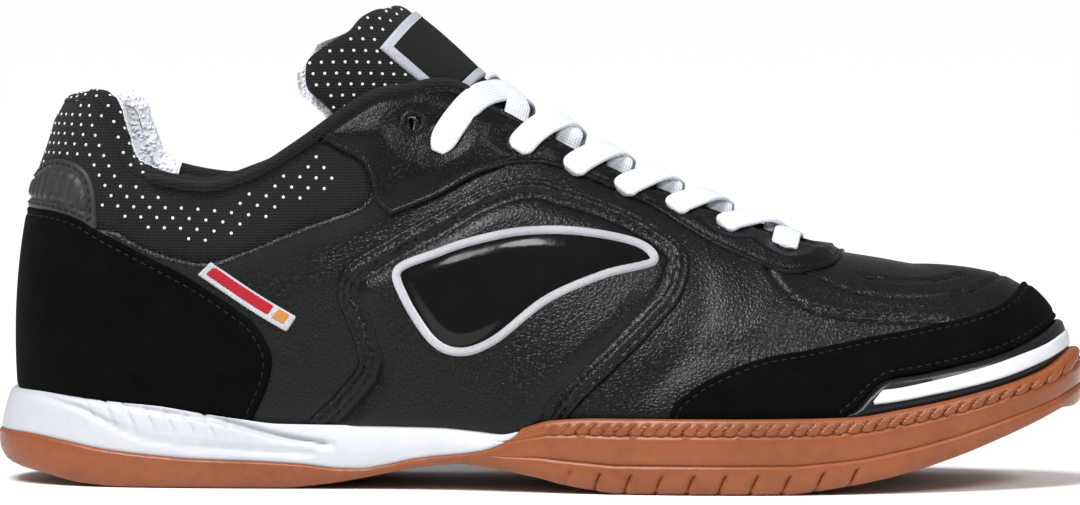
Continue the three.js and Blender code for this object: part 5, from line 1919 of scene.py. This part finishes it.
@dataclass
class Laces:
    """Flat lace crossed over the tongue, with a bar at the last eyelets."""

    sheet: FormSheet
    tongue: TongueForm
    lift: float = 1.8
    cross: float = 1.4
    points: list = field(default_factory=list)
    faces: list = field(default_factory=list)
    uv: list = field(default_factory=list)

    def strap(self, start: Array, end: Array, height: Callable[[Array], Array], bend: float = 0.0,
              even: bool = False, late: float = 0.0) -> None:
        """Lays one strap from an eyelet across the instep.

        Args:
            start: centre of the first eyelet.
            end: centre of the last eyelet.
            height: height over the form at each share of the way.
            bend: sideways bow in millimetres.
            even: whether both ends come out of an eyelet.
            late: share of the way by which the strap stays longer on the eyestay.
        """
        u = np.concatenate((np.linspace(0, 0.05, 7)[:-1], np.linspace(0.05, 1, 40)))
        start = start - unit(end - start) * 1.8
        if even:
            u = np.concatenate((u[u < 0.5], [0.5], 1 - u[u < 0.5][::-1]))
            end = end + unit(end - start) * 1.8
        flat = start[:2] + (end - start)[:2] * u[:, None]
        side = unit(np.array([-(end - start)[1], (end - start)[0]]))
        flat += side * (bend * np.sin(u * math.pi))[:, None]
        found = [self.sheet.top(x, y) for x, y in flat]
        position = np.array([p for p, _ in found])
        normal = np.array([n for _, n in found])
        ease(position, 10)
        ease(normal, 10)
        normal = unit(normal)
        along = np.clip(flat[:, 0], 131, None)
        crest = [self.sheet.top(x, float(SIZES.ball_width * CREST(x / SIZES.length)))[0][2] for x in along]
        line = self.tongue.crest
        order = np.argsort(line[:, 0])
        gap = np.array(crest) - np.interp(along, line[order, 0], line[order, 1])
        first = (SIZES.eyelet_inset + 3.0) / float(np.linalg.norm(end - start)) + late
        fade = smooth(first, first + 0.26, 1 - u) if even else 1 - smooth(0.72, 1.0, u)
        weight = smooth(first, first + 0.26, u) * fade * smooth(154, 138, flat[:, 0])
        raised = height(u) * (1 - weight) + (1.3 - gap + self.cross * 0.6) * weight
        path = position + normal * raised[:, None]
        nearest = np.minimum(u, 1 - u) if even else u
        tucked = 0.0 if even else bell(1 - u, 0.07)
        narrow = 1 - 0.55 * (1 - np.clip(nearest / 0.045, 0, 1)) ** 2 - 0.3 * tucked
        thick = 1 + 0.25 * bell(nearest, 0.07) + 0.5 * tucked
        ring = oval(SIZES.lace_width, SIZES.lace_thick, 20, 0.7)
        points, faces = sweep(path, normal, ring, np.stack((narrow, thick), 1))
        uv = np.stack((np.repeat(way_along(path), len(ring)), np.tile(ring[:, 0], len(u))), 1) * 0.01
        uv = np.vstack((uv, uv[:1], uv[-1:]))
        first = sum(len(p) for p in self.points)
        self.points.append(points)
        self.uv.append(uv)
        self.faces += [tuple(first + v for v in face) for face in faces]

    def build(self) -> None:
        """Makes the lace."""
        pairs = self.sheet.eyelets
        for k in range(len(pairs) - 1):
            for side, rise in ((0, self.cross), (1, 0.0)):
                start, end = pairs[k][side], pairs[k + 1][1 - side]
                length = float(np.linalg.norm(end - start))
                under = 1 - (SIZES.eyelet_inset + 1.5) / length

                def height(u: Array, rise: float = rise, under: float = under,
                           length: float = length) -> Array:
                    """Out of the eyelet, over the crossing and in under the far edge."""
                    out = smooth(0, 2.6 / length, u)
                    down = smooth(under - 5 / length, under, u)
                    middle = bell(u - 0.5 * under - 0.02, 0.2)
                    return 0.6 + (self.lift - 0.6 + rise * middle) * out - (self.lift + 3.2) * down

                ahead = 6.5 if k == 0 else 3.2
                late = 0.12 if k == 0 and side else 0.0
                self.strap(start, end, height, bend=ahead if side else -ahead, late=late)
        outer, inner = pairs[-1]

        def bar(u: Array) -> Array:
            """Out of one eyelet and into the other."""
            return 0.5 + (self.lift - 0.7) * smooth(0, 0.16, u) * smooth(1, 0.84, u)

        self.strap(outer, inner, bar, even=True)
        make_object("lace_straps", np.concatenate(self.points), self.faces, "lace", LACE.material(),
                    ["lace"],
                    np.concatenate(self.uv))


@dataclass
class Overlays:
    """Panels sewn and moulded on the upper."""

    sheet: FormSheet
    seams: Stitching

    def build(self) -> None:
        """Makes the panels from the heel to the toe."""
        panels = [Panel("heel_counter_suede", HEEL_COUNTER, Region.HEEL, Edge(SIZES.suede, 1.0), SUEDE,
                        "suede",
                        "heel_counter", base=0.1, rows=(2.2,), cell=1.2, apart=((TAG, 0.2),))]
        for region, word in SIDES.items():
            panels.append(Panel(
                f"eyestay_{word}_leather", EYESTAY, region, Edge(SIZES.eyestay, 0.7), SMOOTH_LEATHER,
                "leather",
                f"eyestay_{word}", base=0.15, puff=1.4, rows=(1.7,), apart=((SIDE_PANEL, 0.3),),
                openings=True))
            panels.append(Panel(
                f"side_panel_{word}_leather", SIDE_PANEL, region, Edge(SIZES.side_panel, 1.2), LEATHER,
                "leather",
                f"side_panel_{word}", base=0.1, puff=1.5, rows=(1.7, 4.3)))
        for name, rows, edge, finish, base, cell in (
            ("side_tag_edge", TAG, Edge(0.6, 0.4), SATIN, 0.4, 0.6),
            ("side_tag_field", TAG_FIELD, Edge(0.15, 0.2), RED, 0.98, 0.6),
            ("side_tag_square", TAG_SQUARE, Edge(0.15, 0.2), GOLD, 0.98, 0.5),
        ):
            panels.append(Panel(name, rows, Region.OUTER, edge, finish, "red_tag", "side_tag", base=base,
                                cell=cell))
        panels += [
            Panel("toe_guard_suede", TOE_GUARD, Region.TOE, Edge(SIZES.suede, 1.0), SUEDE, "suede",
                  "toe_guard",
                  base=0.15, rows=(1.9,), cell=1.1, apart=((TOE_BUMPER, 0.1),)),
            Panel("toe_bumper_rubber", TOE_BUMPER, Region.TOE, Edge(SIZES.bumper, 1.6), RUBBER, "gloss",
                  "toe_bumper", base=0.2, cell=1.0),
            Panel("toe_stripe_paint", TOE_STRIPE, Region.TOE, Edge(SIZES.stripe, 0.5), PAINT, "foam",
                  "toe_stripe", base=2.15, cell=0.8),
        ]
        for panel in panels:
            panel.build(self.sheet, self.seams)
        self.heel_patch()
        for region, word in SIDES.items():
            self.emblem(region, word)

    def heel_patch(self) -> None:
        """Makes the ribbed patch at the back of the collar, with its sewn band."""
        panel = Panel("heel_patch_ribbed", HEEL_PATCH, Region.HEEL, Edge(1.1, 0.7), SMOOTH_LEATHER,
                      "textile",
                      "heel_patch", base=0.1, cell=0.7, apart=((HEEL_COUNTER, -0.6),))
        patch = panel.patch(self.sheet, 1.5, 2.6, 3.2)
        position, _ = patch.spots()
        distance = patch.marks["in"]
        height = panel.height(distance, position) - 0.6 * bell(distance - 2.9, 0.35)
        inner = smooth(3.0, 4.0, distance)
        around = np.arctan2(position[:, 1], 36 - position[:, 0]) * 34
        along = around * (1 - 0.006 * (position[:, 2] - 68)) + 1.9
        height += inner * (0.7 - 1.0 * bell(np.mod(along, 3.8) - 1.9, 0.42))
        make_panel("heel_patch_ribbed", patch, height, "textile", RIBBED.material(), ["heel_patch"])
        panel.sew(patch, height, 1.5, self.seams)

    def emblem(self, region: Region, word: str) -> None:
        """Makes the plain leaf on the side: a sewn pale edge round a glossy face."""
        panel = Panel(f"side_emblem_{word}", EMBLEM, region, Edge(0.8, 0.7), SATIN, "gloss",
                      f"side_emblem_{word}",
                      base=3.2, cell=0.6)
        patch = self.sheet.over(panel.mark(self.sheet), region, panel.cell).keep("in")
        patch.cut("in", 0.1, 0.4, 1.2, 1.9, 2.4)
        face = patch.copy().keep("in", 2.4)
        rim = patch.drop("in", 2.4)
        distance = rim.marks["in"]
        ring = np.sqrt(np.maximum(1 - (np.clip(distance, 0, 2.4) / 1.2 - 1) ** 2, 0))
        height = panel.base - 0.4 + 1.1 * ring
        uv = np.stack((rim.coords[:, 0] + rim.coords[:, 1] * 90, distance), 1) * 0.01
        position, normal = rim.spots()
        make_object(f"side_emblem_{word}_edge", position + normal * height[:, None], rim.faces, "gloss",
                    SATIN.material(), [f"side_emblem_{word}"], uv)
        height = panel.base - 0.2 + 0.5 * smooth(2.4, 6.5, face.marks["in"])
        make_panel(f"side_emblem_{word}_face", face, height, "gloss", PATENT.material(),
                   [f"side_emblem_{word}"])


@dataclass
class Studio:
    """Pale floor, soft light and the camera at the photograph's angle."""

    azimuth: float = 5.0
    elevation: float = 2.5
    distance: float = 1.9
    lens: float = 232.8
    target: tuple[float, float, float] = (0.0882, 0.0, 0.062)

    def build(self) -> None:
        """Makes the floor, lights and camera."""
        self.floor()
        self.light()
        self.camera()
        bpy.context.scene.view_settings.view_transform = "Standard"

    def floor(self) -> None:
        """Lays a plain floor."""
        mesh = bpy.data.meshes.new("floor")
        corners = ((-40, -40), (40, -40), (40, 40), (-40, 40))
        mesh.from_pydata([(x, y, -0.0002) for x, y in corners], [], [(0, 1, 2, 3)])
        paint = bpy.data.materials.new("pale_floor")
        paint.use_nodes = True
        shader = paint.node_tree.nodes["Principled BSDF"]
        shader.inputs["Base Color"].default_value = (0.97, 0.97, 0.97, 1)
        shader.inputs["Roughness"].default_value = 0.6
        shader.inputs["Specular IOR Level"].default_value = 0.2
        mesh.materials.append(paint)
        link("floor", mesh)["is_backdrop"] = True

    @staticmethod
    def aim(thing: bpy.types.Object, spot: Sequence[float], at: Sequence[float]) -> None:
        """Places a lamp or camera and turns it to a point."""
        thing.location = spot
        thing.rotation_mode = "QUATERNION"
        thing.rotation_quaternion = (Vector(at) - Vector(spot)).to_track_quat("-Z", "Y")

    def light(self) -> None:
        """Hangs a broad overhead light, a side light, a front light and a dim surround."""
        world = bpy.data.worlds.new("surround")
        bpy.context.scene.world = world
        world.use_nodes = True
        surround = world.node_tree.nodes["Background"]
        surround.inputs["Color"].default_value = (1, 1, 1, 1)
        surround.inputs["Strength"].default_value = 0.32
        for name, kind, power, spot, size in (
            ("overhead", "SUN", 2.9, (-0.35, -1.05, 2.0), math.radians(25)),
            ("side_light", "AREA", 11.0, (-0.5, -1.2, 1.2), 0.5),
            ("front_light", "AREA", 9.0, (1.0, -0.8, 1.0), 0.42),
        ):
            lamp = bpy.data.lights.new(name, kind)
            lamp.energy = power
            setattr(lamp, "angle" if kind == "SUN" else "size", size)
            self.aim(link(name, lamp), spot, (0.09, 0, 0.05))

    def camera(self) -> None:
        """Sets the camera."""
        data = bpy.data.cameras.new("camera")
        data.lens = self.lens
        data.sensor_width = 36.0
        data.clip_start, data.clip_end = 0.05, 200
        camera = link("camera", data)
        a, e = math.radians(self.azimuth), math.radians(self.elevation)
        back = Vector((math.sin(a) * math.cos(e), -math.cos(a) * math.cos(e), math.sin(e)))
        self.aim(camera, Vector(self.target) + back * self.distance, self.target)
        bpy.context.scene.camera = camera


def write_sizes() -> None:
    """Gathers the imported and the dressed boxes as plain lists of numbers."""
    boxes = {"cad": CAD_BOX, "visual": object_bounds()}
    plain = {name: [[float(x) for x in corner] for corner in box] for name, box in boxes.items()}


def main() -> None:
    """Builds the shoe piece by piece."""
    logging.basicConfig(level=logging.INFO, format="%(name)s %(message)s")
    Studio().build()
    sheet = FormSheet()
    seams = Stitching()
    upper = Upper(sheet, seams)
    upper.build()
    Overlays(sheet, seams).build()
    collar_dots(sheet, upper.dots)
    tongue = TongueForm(sheet)
    Tongue(sheet, tongue).build()
    Sole().build()
    Laces(sheet, tongue).build()
    seams.sew()
    write_sizes()


if __name__ == "__main__":
    main()
